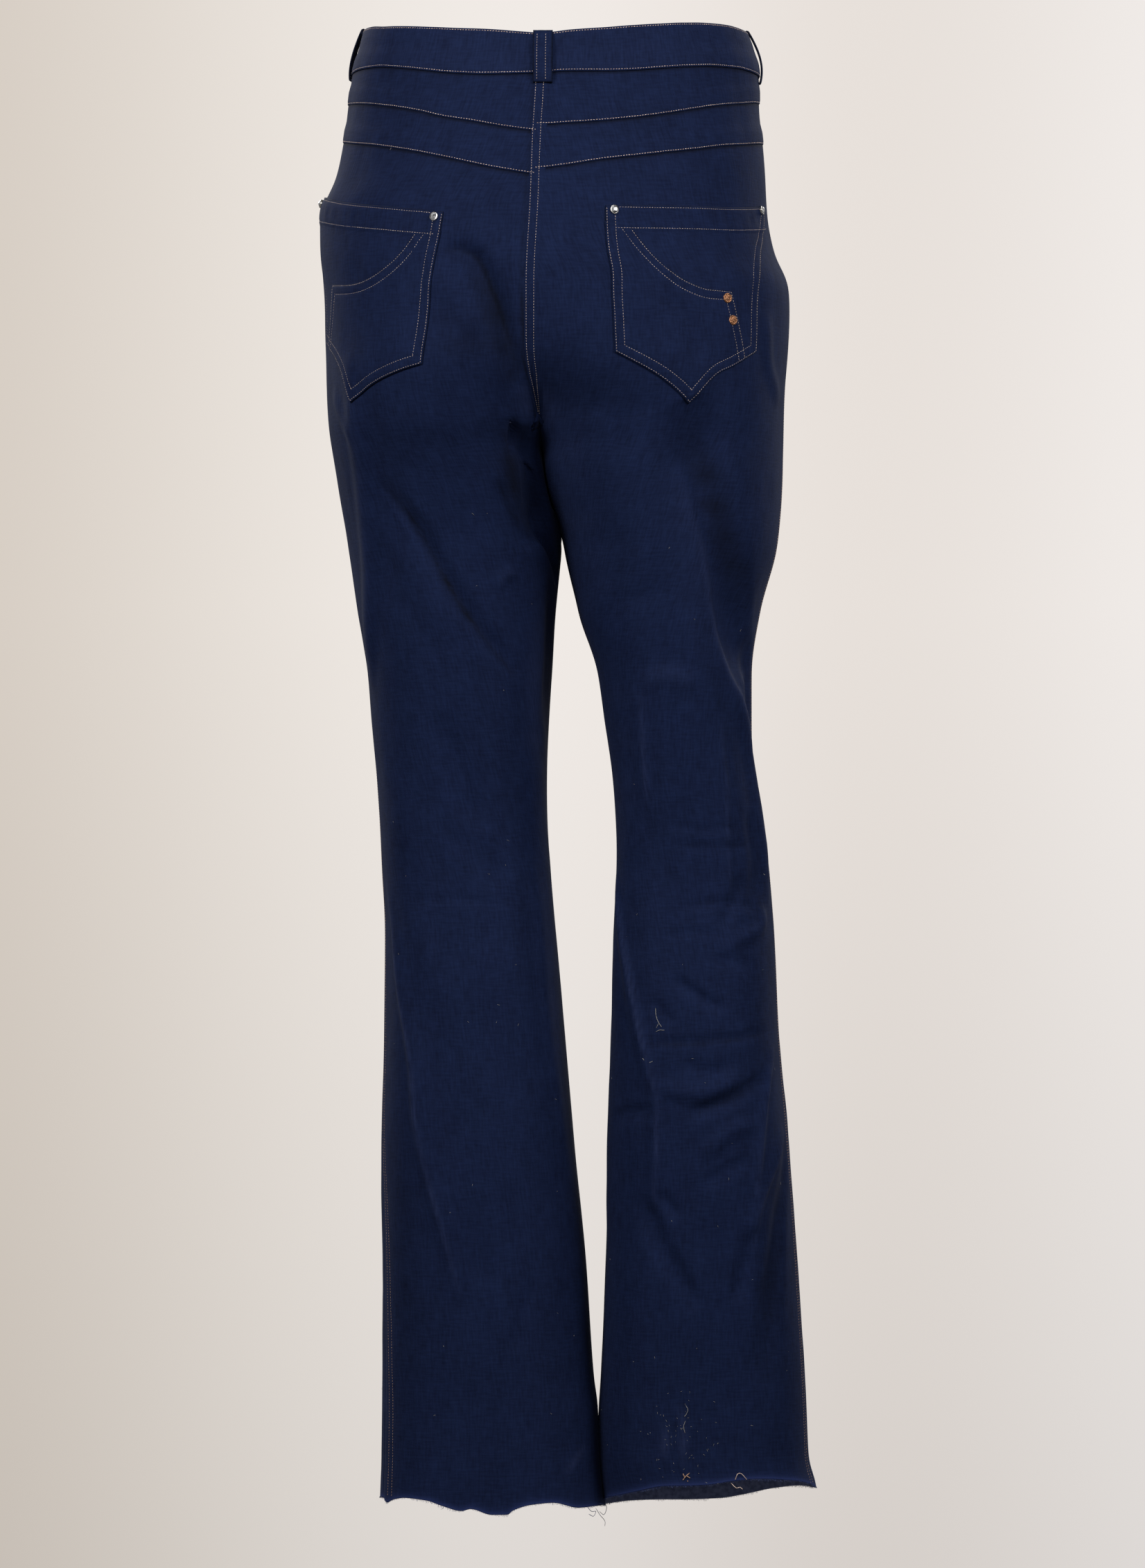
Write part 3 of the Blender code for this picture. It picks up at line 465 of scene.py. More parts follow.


# Lines made paler by wear and by painted light, and darker lines of painted shade in hollows, creases and the
# gap
# between the legs: the width and strength of each, and the spots that it passes
wornAndPaintedLines = {
    "left back": (
        (2, 1.2, 30, 650, 44, 729, 57, 794, 60, 850, 70, 915, 83, 984),
        (3, 0.5, 112, 254, 114, 302, 90, 387, 70, 450, 36, 520),
        (1.8, 0.4, 74, 281, 107, 323),
        (1.4, 0.7, 192, 434, 201, 424, 213, 423),
        (2.6, -1.2, 116, 352, 135, 380, 150, 425, 167, 465, 190, 504),
        (17.5, -1, 258, 312, 254, 338, 247, 370, 240, 400),
        (7.5, -0.9, 244, 314, 233, 340, 227, 370, 236, 392),
        (2.6, -0.5, 224, 335, 217, 360, 225, 392),
        (10, -0.3, 258, 405, 250, 425, 244, 445),
        (16, -0.45, 197, 240, 216, 243, 238, 244, 249, 247),
        (8, -0.45, 226, 195, 238, 214, 245, 241, 253, 268, 255, 283),
        (12, 0.7, 264, 278, 270, 290, 276, 302),
        (16, 0.95, 268, 400, 248, 440, 237, 465, 214, 522, 200, 579),
        (18, 0.34, 187, 636, 179, 693, 191, 749, 201, 863, 202, 920, 210, 978, 219, 1035),
        (8, -0.55, 203, 180, 227, 191, 250, 231, 263, 283),
        (2.4, -0.8, 203, 177, 219, 178, 232, 185, 244, 210, 256, 244, 266, 275),
        (16, -0.25, 34, 841, 35, 908, 37, 974, 37, 1041),
        (2.6, 1.3, 160, 1117.5, 171, 1106, 183, 1094.5),
    ),
    "right back": (
        (1.5, 1, 186, 645, 171, 720, 161, 764, 152, 798, 145, 832),
        (1.4, 0.8, 145, 825, 147, 860, 149, 912),
        (3, 0.7, 126, 378, 95, 435, 62, 500, 28, 562, 26, 680),
        (1.8, 0.8, 137, 515, 132, 558, 133, 604),
        (1.6, 0.5, 70, 534, 68, 587, 72, 640, 74, 693),
        (9, 0.25, 138, 510, 116, 502, 94, 508),
        (9, -0.35, 46, 604, 44, 647, 60, 680),
        (1.1, -0.25, 119, 615, 92, 619, 57, 616),
        (1.2, -0.25, 117, 630, 83, 633, 44, 630),
        (1.2, -0.3, 116, 679, 82, 675, 48, 679),
        (1.6, 0.7, 34, 787, 56, 827, 65, 866, 70, 906),
        (10, -0.45, 14, 860, 33, 907, 49, 960, 57, 1000),
        (2, 0.6, 24, 852, 52, 886, 67, 914, 70, 950),
        (1.8, 0.5, 48, 800, 62, 861, 68, 905),
        (1.6, -0.9, 156, 786, 118, 784, 85, 782, 47, 776),
        (4, -0.5, 124, 840, 100, 831, 56, 810),
        (11, -0.85, 156, 304, 125, 346, 98, 388, 82, 410, 62, 430, 38, 451),
        (14, 0.2, 166, 325, 141, 357, 124, 388, 99, 426, 72, 463, 45, 494),
        (22, 0.35, 249, 283, 255, 303, 251, 324, 243, 345, 231, 376, 213, 408, 184, 446),
        (12, 0.6, 276, 280, 278, 300, 280, 320),
        (22, 0.3, 170, 480, 158, 522, 156, 579, 162, 635, 167, 692, 173, 748),
        (18, 0.3, 186, 760, 188, 805, 194, 862, 198, 919, 200, 976, 197, 1033, 195, 1089),
        (12, -0.4, 40, 880, 50, 968, 60, 1050),
        (3.6, 0.8, 141, 1074, 139, 1086, 141, 1106),
        (3, 0.8, 127, 1062, 125, 1085, 126, 1110),
    ),
    "left front": (
        (1.6, 0.8, 110, 700, 102, 830, 110, 980),
        (3, 0.5, 60, 340, 70, 430, 62, 520),
    ),
    "right front": (
        (1.6, 0.8, 118, 720, 108, 850, 118, 1000),
        (3, 0.5, 70, 350, 86, 440, 76, 540),
    ),
}
# The size and share of a line's unevenness, and how it fades towards its ends
lineVariation = {"size": 0.012, "uneven": 0.3, "ends": 0.6}


def paintWearAndShading(side, face, distance, height):  # paler along lines of wear and painted light, darker along lines of painted shade
    total = np.zeros(distance.shape)
    for width, strength, *numbers in wornAndPaintedLines[f"{side} {face}"]:
        path, width = smoothPath(spotsFrom(numbers)), metres(width)
        near = around(path, 3 * width, distance, height)
        off, along = fromPath(path, distance[near], height[near])
        noise = latticeNoise(5, height[near] / lineVariation["size"], 0 * off + width * 1e4)
        uneven = 1 - lineVariation["uneven"] + lineVariation["uneven"] * noise
        fade = np.clip(np.sin(math.pi * np.clip(along, 0, 1)), 0, 1) ** lineVariation["ends"]
        total[near] += strength * uneven * fade * np.exp(-((off / width) ** 2))
    return total


def latticeNoise(seed, x, y):  # smooth noise from -1 to 1 with features about one unit wide
    lattice = np.random.default_rng(seed).uniform(-1, 1, (64, 64))
    i, j = np.floor(x).astype(int), np.floor(y).astype(int)
    t, s = x - i, y - j
    t, s = t * t * (3 - 2 * t), s * s * (3 - 2 * s)
    rows = [lattice[(i + a) % 64, (j + b) % 64] for a in (0, 1) for b in (0, 1)]
    return (rows[0] * (1 - s) + rows[1] * s) * (1 - t) + (rows[2] * (1 - s) + rows[3] * s) * t


# Width, height and rise of each size of unevenness
unevenness = ((0.090, 0.160, 0.0013), (0.034, 0.060, 0.00080), (0.014, 0.024, 0.00028))


def waviness(side, face, distance, height):  # the cloth's own slight unevenness
    edge = np.minimum(distance, girth(side, face, height) - distance) / foldEdge
    seed = 3 + 10 * list(body).index((side, face))
    total = 0.0
    for k, (wide, tall, rise) in enumerate(unevenness):
        total = total + rise * latticeNoise(seed + k, distance / wide, height / tall)
    return total * np.clip(edge, 0, 1)


def onBody(side, face, distance, height, out=0.0):
    distance, height = np.broadcast_arrays(np.asarray(distance, float), np.asarray(height, float))
    point, normal = spotOn(side, face, distance, height)
    moved = relief(side, face, distance, height) + waviness(side, face, distance, height) + out
    return point + normal * moved[..., None], normal


def stopsAlong(length, coarse, fine=0.0009, ends=(0.011, 0.011)):  # shares, closer together near the ends
    start = np.arange(0, ends[0], fine)
    finish = length - np.arange(0, ends[1], fine)[::-1]
    inner = length - ends[0] - ends[1]
    middle = ends[0] + inner * np.linspace(0, 1, max(int(inner / coarse), 1) + 1)
    return np.unique(np.round(np.concatenate([start, middle, finish]), 6)) / length


def rounding(away, rim):  # 0 at an edge, rising to 1 as a thick cloth's rounded rim does
    return np.sqrt(np.clip(1 - np.clip(1 - away / rim, 0, 1) ** 2, 0, 1))


foldRim = 0.0010


def foldedEdge(x, rise, allowance, fade):  # how far a folded, topstitched edge stands proud
    return rise * rounding(x, foldRim) * (1 - np.clip((x - allowance) / fade, 0, 1)) ** 0.8


def groove(x, at, depth=0.00035, width=0.0009):  # where a row of stitches pulls the cloth in
    return -depth * np.exp(-(((x - at) / width) ** 2))


surfaces = []  # outer faces that stitches and trims are seated on


def meshFrom(name, shape):
    mesh = bpy.data.meshes.new(name)
    shape.to_mesh(mesh)
    shape.free()
    return mesh


def addObject(name, data):
    thing = bpy.data.objects.new(name, data)
    bpy.context.collection.objects.link(thing)
    return thing


def addPiece(name, mesh, materials, slotName, *nodes):
    for material in materials:
        mesh.materials.append(material)
    piece = addObject(name, mesh)
    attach(piece, "root")
    if nodes:
        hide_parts(*nodes)
    return piece


def clothPiece(name, points, flatPlace, normals, thickness, marks=None, held="laid", nodes=()):
    rows, columns = points.shape[0] - 1, points.shape[1] - 1
    shape = bmesh.new()
    bmesh.ops.create_grid(shape, x_segments=columns, y_segments=rows, size=0.5)
    mesh = meshFrom(name, shape)
    place = np.empty(len(mesh.vertices) * 3)
    mesh.vertices.foreach_get("co", place)
    place = place.reshape(-1, 3)
    j = np.rint((place[:, 0] + 0.5) * columns).astype(int)
    i = np.rint((place[:, 1] + 0.5) * rows).astype(int)
    mesh.vertices.foreach_set("co", points[i, j].ravel())
    loops = np.empty(len(mesh.loops), int)
    mesh.loops.foreach_get("vertex_index", loops)
    mesh.uv_layers.new(name="clothGrain").data.foreach_set("uv", flatPlace[i, j][loops].ravel())
    for mark, values in (marks or {}).items():
        mesh.attributes.new(mark, "FLOAT", "POINT").data.foreach_set("value", values[i, j])
    mesh.update()
    middle = mesh.polygons[len(mesh.polygons) // 2]
    if middle.normal.dot(Vector(normals[i, j][middle.vertices[0]])) < 0:
        mesh.flip_normals()
    mesh.shade_smooth()
    materials = (twill, insideTwill) if held == "hung" else (twill,)
    faces = [tuple(face.vertices) for face in mesh.polygons]
    surfaces.append((np.float32(points[i, j]).astype(float), faces))
    piece = addPiece(name, mesh, materials, "twill", *nodes)
    wall = piece.modifiers.new("wall", "SOLIDIFY")
    wall.thickness = thickness
    wall.offset = -1
    wall.material_offset = 1 if held == "hung" else 0


def setInputs(node, inputs):  # each is given a value, or linked to another node's output
    for socket, value in inputs.items():
        if isinstance(value, bpy.types.NodeSocket):
            node.id_data.links.new(value, node.inputs[socket])
        else:
            node.inputs[socket].default_value = value


def addNode(tree, kind, inputs=None, **settings):
    node = tree.nodes.new("ShaderNode" + kind)
    for name, value in settings.items():
        setattr(node, name, value)
    setInputs(node, inputs or {})
    return node


def addRamp(tree, share, stops, interpolation="LINEAR"):  # each stop is a place and its colour
    node = addNode(tree, "ValToRGB", {"Fac": share})
    ramp = node.color_ramp
    ramp.interpolation = interpolation
    for element, (place, colour) in zip(ramp.elements, (stops[0], stops[-1])):
        element.position, element.color = place, (*colour, 1)
    for place, colour in stops[1:-1]:
        ramp.elements.new(place).color = (*colour, 1)
    return node.outputs["Color"]


twillLook = {
    "shades": ((0.38, (0.0022, 0.0056, 0.0250)), (0.62, (0.0060, 0.0131, 0.0490))),
    "frayedBlue": (0.022, 0.036, 0.130, 1),
    # the paler colour that wear and painted light mix towards
    "paler": (0.0200, 0.0300, 0.0850, 1),
    # how far painted shade darkens the cloth at full strength
    "paintedShade": 0.68,
    "finish": {
        "Roughness": 0.82,
        "Specular IOR Level": 0.10,
        "Sheen Weight": 0.02,
        "Sheen Roughness": 0.5,
        "Sheen Tint": (0.45, 0.55, 1.0, 1),
    },
}


def makeTwill():
    material = bpy.data.materials.new("twill")
    material.use_nodes = True
    tree = material.node_tree
    grain = addNode(tree, "UVMap", uv_map="clothGrain").outputs["UV"]
    solid = addNode(tree, "TexCoord").outputs["Object"]

    def noise(where, scale, detail=2):
        placed = addNode(tree, "Mapping", {"Vector": where, "Scale": scale}).outputs["Vector"]
        return addNode(tree, "TexNoise", {"Vector": placed, "Scale": 1, "Detail": detail}).outputs["Fac"]

    def sums(operation, *values):
        return addNode(tree, "Math", dict(enumerate(values)), operation=operation).outputs[0]

    def blend(share, one, two):
        return addNode(tree, "Mix", {0: share, 6: one, 7: two}, data_type="RGBA").outputs[2]

    def mark(name):
        return addNode(tree, "Attribute", attribute_name=name).outputs["Fac"]

    warp = noise(grain, (640, 85, 1), 3)
    weft = noise(grain, (95, 580, 1), 3)
    mottle = noise(solid, (62, 62, 48), 4)
    clouds = noise(solid, (13, 13, 9), 3)
    fine = sums("MULTIPLY_ADD", weft, 0.8, warp)
    streaks = noise(grain, (170, 15, 1))
    broad = sums("MULTIPLY_ADD", streaks, 0.3, sums("MULTIPLY", mottle, 0.5))
    broad = sums("MULTIPLY_ADD", clouds, 0.3, broad)
    mixed = sums("MULTIPLY", sums("ADD", fine, broad), 1 / 2.9)
    shades = addRamp(tree, mixed, twillLook["shades"])
    # the mark is paler where positive, from wear and painted light
    wearAndPaintedShading = mark("wearAndPaintedShading")
    paler = sums("MULTIPLY", sums("MAXIMUM", wearAndPaintedShading, 0.0), sums("MULTIPLY", warp, 1.2))
    coloured = blend(sums("MINIMUM", paler, 1.0), shades, twillLook["paler"])
    # painted shade, darker where the mark is negative
    deep = sums("MINIMUM", sums("MAXIMUM", sums("MULTIPLY", wearAndPaintedShading, -1.0), 0.0), 1.0)
    light = sums("SUBTRACT", 1.0, sums("MULTIPLY", deep, twillLook["paintedShade"]))
    dimmed = addNode(tree, "VectorMath", {0: coloured, "Scale": light}, operation="SCALE").outputs[0]
    relief = sums("MULTIPLY_ADD", mottle, 1.5, fine)
    bump = addNode(tree, "Bump", {"Strength": 0.6, "Distance": 0.0003, "Height": relief})
    setInputs(tree.nodes["Principled BSDF"], {
        "Base Color": blend(mark("frayed"), dimmed, twillLook["frayedBlue"]),
        "Normal": bump.outputs["Normal"],
        **twillLook["finish"],
    })  # fmt: skip
    return material


def plainMaterial(name, colour, roughness, metallic=0.0):
    material = bpy.data.materials.new(name)
    material.use_nodes = True
    inputs = {"Base Color": (*colour, 1), "Roughness": roughness, "Metallic": metallic}
    setInputs(material.node_tree.nodes["Principled BSDF"], inputs)
    return material


def mottled(name, dark, pale, roughness, metallic, scale, depth=0.0):  # two shades, mixed by noise
    material = plainMaterial(name, dark, roughness, metallic)
    tree = material.node_tree
    place = addNode(tree, "TexCoord").outputs["Object"]
    noise = addNode(tree, "TexNoise", {"Vector": place, "Scale": scale, "Detail": 2}).outputs["Fac"]
    inputs = {"Base Color": addRamp(tree, noise, ((0.35, dark), (0.65, pale)))}
    if depth:
        inputs["Normal"] = addNode(tree, "Bump", {"Distance": depth, "Height": noise}).outputs["Normal"]
    setInputs(tree.nodes["Principled BSDF"], inputs)
    return material


twill = makeTwill()
insideTwill = mottled("insideTwill", (0.085, 0.105, 0.215), (0.165, 0.195, 0.360), 0.9, 0.0, 300)

panel = {
    "thickness": 0.0010,
    "coarse": 0.0030,
    "netWidth": 0.262,  # the length round that the number of columns is counted from
    "ends": (0.006, 0.008),
    "flatColumns": 13,
    "flatLeast": 0.012,
    "seat": -0.200,
    "shin": -1.050,
    "thighFree": -0.400,
    "thighEnd": -0.500,
    "hemMark": 0.0020,
    "tuck": 0.0030,
    "tuckDepth": 0.0005,
    "tuckFade": 0.0008,
    "solids": ("hip", "thigh", "knee", "calf", "ankle"),
}


def columnShares(side, face, u, height, bend):
    length, flat = girth(side, face, height), np.interp(-height, -levels, body[side, face]["flat"])
    above = (panel["seat"] - height) / (panel["seat"] - figure["crotchBend"])
    below = (height - panel["thighEnd"]) / (panel["thighFree"] - panel["thighEnd"])
    byCrotch = np.clip(np.minimum(above, below), 0, 1)
    corner = bend + (1 - np.maximum(flat, panel["flatLeast"]) / length - bend) * byCrotch
    return np.where(u <= bend, corner * u / bend, corner + (1 - corner) * (u - bend) / (1 - bend))


def tucked(height, seam):  # how far the cloth above a seam lies under its neighbour
    return np.clip((height - seam) / panel["tuckFade"], 0, 1) * panel["tuckDepth"]


# How far the painted shade reaches below a folded edge, and the place, width and strength of the painted
# shadow by the lap
paintedSeamShade = {"below": 0.0017, "lapPlace": 0.0051, "lapWidth": 0.0011, "byLap": 0.9}


def paintedShade(side, face, distance, height, seam):  # painted shade just below a folded edge and beside the lap
    length = girth(side, face, height)
    below = seamHeight(seam, side, face, distance / length) - height
    total = -np.exp(-((np.clip(below, 0, 1) / paintedSeamShade["below"]) ** 2))
    if (side, face) == ("left", "back"):
        beside = (length - distance - paintedSeamShade["lapPlace"]) / paintedSeamShade["lapWidth"]
        total = total - paintedSeamShade["byLap"] * np.exp(-(beside**2))
    return total


def legPanel(side, face, top):
    name = f"{side} {face}"
    columns = int(panel["netWidth"] / panel["coarse"])
    u = np.linspace(0, 1, columns + 1)[None, :]
    start, end = top[name][0] / 1000, hem[name][0] / 1000
    v = stopsAlong(start - end, panel["coarse"], ends=panel["ends"])[:, None]
    level = start + (end - start) * v
    rough = np.clip(level, levels[-1], levels[0])
    share = columnShares(side, face, u, rough, 1 - panel["flatColumns"] / columns)
    topDrop = seamHeight(top, side, face, share) - start + panel["tuck"]
    hemDrop = hemHeight(side, face, share) - end
    high = np.clip((level - panel["seat"]) / (start - panel["seat"]), 0, 1)
    low = np.clip((panel["shin"] - level) / (panel["shin"] - end), 0, 1)
    height = level + topDrop * high + hemDrop * low
    distance = share * girth(side, face, height)
    under = tucked(height, seamHeight(top, side, face, share))
    points, normals = onBody(side, face, distance, height, -under)
    fromHem = height - hemHeight(side, face, share)
    # wear, painted light and painted shade along lines, and painted shade below the top seam and beside the
    # lap
    wearAndPaintedShading = paintWearAndShading(side, face, distance, height) + paintedShade(side, face, distance, height, top)
    marks = {"frayed": np.exp(-fromHem / panel["hemMark"]), "wearAndPaintedShading": wearAndPaintedShading}
    place = np.stack([distance, height], axis=-1)
    nodes = [f"{face}_{side}_{part}" for part in panel["solids"]]
    clothPiece(f"{face}_{side}_cloth", points, place, normals, panel["thickness"], marks, "hung", nodes=nodes)


for side in hands:
    legPanel(side, "back", lowerSeam)
    legPanel(side, "front", bandSeam)
print("leg panels made")

yoke = {
    "thickness": 0.0010,
    "coarse": 0.0030,
    "fine": 0.0022,
    "ends": (0.004, 0.004),
    "rims": (0.005, 0.012),
    "rise": 0.0009,
    "allowance": 0.010,
    "fade": 0.006,
    "stitch": 0.0015,
}


def yokePiece(name, side, above, below):
    length = girth(side, "back", seamHeight(below, side, "back", 0.0))
    u = stopsAlong(length, yoke["coarse"], ends=yoke["ends"])[None, :]
    depth = (above[f"{side} back"][5] - below[f"{side} back"][5]) / 1000
    v = stopsAlong(depth, yoke["fine"], ends=yoke["rims"])[:, None]
    seam = seamHeight(above, side, "back", u)
    top = seam + panel["tuck"]
    bottom = seamHeight(below, side, "back", u)
    height = top + (bottom - top) * v
    distance = u * girth(side, "back", height)
    x = height - bottom
    out = foldedEdge(x, yoke["rise"], yoke["allowance"], yoke["fade"]) + groove(x, yoke["stitch"])
    points, normals = onBody(side, "back", distance, height, out - tucked(height, seam))
    place = np.stack([distance, height], axis=-1)
    # painted shade just below the folded edge of the piece above
    marks = {"wearAndPaintedShading": paintedShade(side, "back", distance, height, above)}
    name, nodes = f"{name}_{side}_cloth", [f"{name}_{side}"]
    clothPiece(name, points, place, normals, yoke["thickness"], marks, "hung", nodes=nodes)


for side in hands:
    yokePiece("yoke_upper", side, bandSeam, upperSeam)
    yokePiece("yoke_lower", side, upperSeam, lowerSeam)
print("yokes made")

band = {
    "paler": 0.12,
    "height": 0.034,
    "level": -0.020,  # where the lengths round it are measured
    "coarse": 0.0022,
    "ends": (0.002, 0.002),
    "rims": (0.007, 0.007),
    "lapStops": 15,
    "seamFold": (0.0006, 0.010, 0.006),  # rise, allowance and fade
    "topFold": (0.0005, 0.008, 0.006),
    "thickness": 0.0020,
    "proud": 0.0006,
    "lap": 0.030,
    "ramp": 0.035,
    "tuck": 0.0034,
    "topStitch": 0.0013,
    "seamStitch": 0.0015,
}


def waistband():
    quarters = (("right", "front", -1), ("right", "back", 1), ("left", "back", -1), ("left", "front", 1))
    v = stopsAlong(band["height"], band["coarse"], fine=0.0008, ends=band["rims"])[:, None]
    lapShare = band["lap"] / girth("right", "front", bandSeam["right front"][1])
    strips = []
    for side, face, way in quarters:
        inwards = stopsAlong(girth(side, face, band["level"]), band["coarse"], ends=band["ends"])
        strips.append((side, face, inwards[::way], 1.0))
    strips.append(("right", "front", 1 - lapShare * np.linspace(0, 1, band["lapStops"]), 0.0))
    points, normals, places = [], [], []
    done = 0.0
    for side, face, u, ramped in strips:
        u = u[None, :]
        top = seamHeight(bandTop, side, face, u)
        bottom = seamHeight(bandSeam, side, face, u)
        height = top + (bottom - top) * v
        length = girth(side, face, height)
        fromCentre = (1 - u) * length
        under = 0.0
        if (side, face) == ("right", "front"):
            ramp = np.clip((band["lap"] + band["ramp"] - fromCentre) / band["ramp"], 0, 1)
            under = ramped * band["tuck"] * ramp
        fromTop, fromBottom = (top - height), (height - bottom)
        shape = foldedEdge(fromBottom, *band["seamFold"]) + foldedEdge(fromTop, *band["topFold"])
        shape += groove(fromTop, band["topStitch"]) + groove(fromBottom, band["seamStitch"])
        spots, outs = onBody(side, face, u * length, height, band["proud"] + shape - under)
        start = 1 if points else 0
        points.append(spots[:, start:])
        normals.append(outs[:, start:])
        along = done + np.abs(u - u[0, 0]) * girth(side, face, band["level"])
        done = along[0, -1]
        places.append(np.stack(np.broadcast_arrays(along, height), axis=-1)[:, start:])
    points, normals, places = (np.concatenate(parts, axis=1) for parts in (points, normals, places))
    marks = {"wearAndPaintedShading": np.full(points.shape[:2], band["paler"])}
    thickness = band["thickness"]
    clothPiece("waistband_cloth", points, places, normals, thickness, marks, "hung", nodes=["waistband"])


waistband()
print("waistband made")

# Each edge of a pocket, the overlay's free edges, and the trims, as millimetres round and below the waist
pockets = {
    "left": {
        "top": (33, 129, 70, 133, 110, 138, 155, 143, 201, 148),
        "out": (33, 129, 45, 165, 52, 200, 52, 225, 48, 243),
        "in": (201, 148, 200.5, 171, 196.5, 201, 194, 228, 188.3, 264.5),
        "footOut": (48, 243, 65, 249, 83, 256, 102, 269.5, 116, 292),
        "footIn": (116, 292, 134, 282.5, 151, 275.5, 171, 269, 188.3, 264.5),
        "free": (84, 199.5, 119, 200.5, 140.5, 196.5, 158, 187.5, 170.5, 176.8, 180, 163),
        "upright": (84, 199.5, 76, 220, 68, 236, 62, 247.5),
        "studOut": (37, 135),
        "studIn": (194, 152),
    },
    "right": {
        "top": (43, 137, 58, 139, 103, 142, 150, 142.5, 210, 143),
        "out": (43, 137, 58.5, 162, 75.5, 180, 93.5, 206, 98.5, 253.5),
        "in": (210, 143, 216.5, 172, 223.8, 203, 224.3, 233, 223, 255.5),
        "footOut": (98.5, 253.5, 112, 259.5, 125, 265.5, 141, 273.5, 157.5, 295),
        "footIn": (157.5, 295, 165, 288.5, 176, 280.5, 192, 270.8, 223, 255.5),
        "free": (
            124.5, 207.5, 132, 206.7, 148, 205.7, 158.5, 202.7,
            169, 197.5, 179, 188.5, 186, 176.5, 195.5, 156,
        ),
        "upright": (124.5, 207.5, 120.2, 225, 117.5, 236, 111.5, 259.3),
        "studOut": (56, 142),
        "studIn": (204, 147),
        "rivetUpper": (129.8, 213),
        "rivetLower": (125.6, 229.8),
    },
}  # fmt: skip
pockets = {
    side: {name: spotsFrom(numbers) for name, numbers in shape.items()} for side, shape in pockets.items()
}
pocketLook = {
    "size": (0.155, 0.122),
    "overlaySize": (0.120, 0.075),
    "overlayFrom": 0.10,  # where the overlay starts along the pocket's foot
    "coarse": 0.0028,
    "thickness": 0.0009,
    "lie": 0.0014,
    "rim": 0.0010,
    # how far in from the edges the painted shade reaches
    "dark": 0.0008,
    "topRow": 0.0020,
    "hemBand": 0.0195,
    "hemRow": 0.0180,
    "hemRise": 0.0007,
    "hemFade": 0.0008,
    "ripple": (0.010, 0.006, 0.0003),  # the place below the top, the reach and the rise of its ripples
    "rippleSize": (0.006, 0.050),
    "rows": (0.0013, 0.0077),  # twin stitches, from the edge
    # How much shorter each row is at its two ends
    "rowEnds": {
        "outer": (0.001, 0.001),
        "inner": (0.006, 0.006),
        "topRow": (0.009, 0.006),
        "hemRow": (0.0013, 0.0013),
    },
    "rowBeyond": 0.010,  # how far the overlay's rows run on under the hem before they are cut
    "overlayLie": 0.0008,
    "overlaySunk": 0.0002,
    "overlayThickness": 0.8,  # as a share of the pocket's
}


def lengthsAlong(path):  # from a path's start to each of its spots
    return np.concatenate([[0], np.cumsum(np.linalg.norm(np.diff(path, axis=0), axis=1))])


def alongPath(path, share):  # spots at shares of the length of a path
    along = lengthsAlong(path)
    place = np.asarray(share, float) * along[-1]
    return np.stack([np.interp(place, along, path[:, k]) for k in (0, 1)], axis=-1)


def footSpots(edges, share):  # the bottom edge, 0 at its outer corner, 0.5 at the point, 1 at the inner one
    outer = alongPath(edges["footOut"], np.clip(2 * share, 0, 1))
    inner = alongPath(edges["footIn"], np.clip(2 * share - 1, 0, 1))
    return np.where((share <= 0.5)[..., None], outer, inner)


def patch(top, foot, out, inner):  # a net of spots between four edges, each given as spots
    v, u = lengthsAlong(out)[:, None, None], lengthsAlong(foot)[None, :, None]
    v, u = v / v[-1], u / u[:, -1:]
    top, foot, out, inner = top[None], foot[None], out[:, None], inner[:, None]
    high = (1 - u) * top[:, :1] + u * top[:, -1:]
    low = (1 - u) * foot[:, :1] + u * foot[:, -1:]
    return (1 - v) * top + v * foot + (1 - u) * out + u * inner - ((1 - v) * high + v * low)


def offPath(path, spots):
    return np.abs(fromPath(np.asarray(path, float), spots[..., 0], spots[..., 1])[0])


def pocketEdges(shape):
    return {name: smoothPath(shape[name]) for name in ("top", "out", "in", "footOut", "footIn")}


def clothPatch(name, side, spots, out, thickness, shade, on):  # laid on the seat, with painted shade where shade is 1
    points, normals = onBody(side, "back", spots[..., 0], spots[..., 1], out)
    piece, under, nodes = f"{name}_{side}_cloth", [f"{on}_{side}_cloth"], [f"{name}_{side}"]
    clothPiece(piece, points, spots, normals, thickness, {"wearAndPaintedShading": -shade}, nodes=nodes)


def pocketPiece(side):
    wide, tall = pocketLook["size"]
    u = np.union1d(stopsAlong(wide, pocketLook["coarse"]), [0.5])
    v = stopsAlong(tall, pocketLook["coarse"], ends=(0.022, 0.012))
    edges = pocketEdges(pockets[side])
    spots = patch(
        alongPath(edges["top"], u), footSpots(edges, u), alongPath(edges["out"], v), alongPath(edges["in"], v)
    )
    away = {name: offPath(path, spots) for name, path in edges.items()}
    sides = np.minimum.reduce([away[name] for name in ("out", "in", "footOut", "footIn")])
    rounded = rounding(np.minimum(sides, away["top"]), pocketLook["rim"])
    out = pocketLook["lie"] * rounded
    for row in pocketLook["rows"]:
        out = out + groove(sides, row)
    hemFall = np.clip((pocketLook["hemBand"] + 0.0004 - away["top"]) / pocketLook["hemFade"], 0, 1)
    out = out + pocketLook["hemRise"] * hemFall * rounded
    out = out + groove(away["top"], pocketLook["topRow"]) + groove(away["top"], pocketLook["hemRow"])
    place, reach, rise = pocketLook["ripple"]
    ripple = np.exp(-(((away["top"] - place) / reach) ** 2))
    across, down = (spots[..., k] / size for k, size in enumerate(pocketLook["rippleSize"]))
    out = out + rise * ripple * latticeNoise(77, across, down)
    # painted shade along the pocket's edges
    shade = np.exp(-((np.minimum(sides, away["top"]) / pocketLook["dark"]) ** 2))
    clothPatch("pocket", side, spots, out, pocketLook["thickness"], shade, "back")


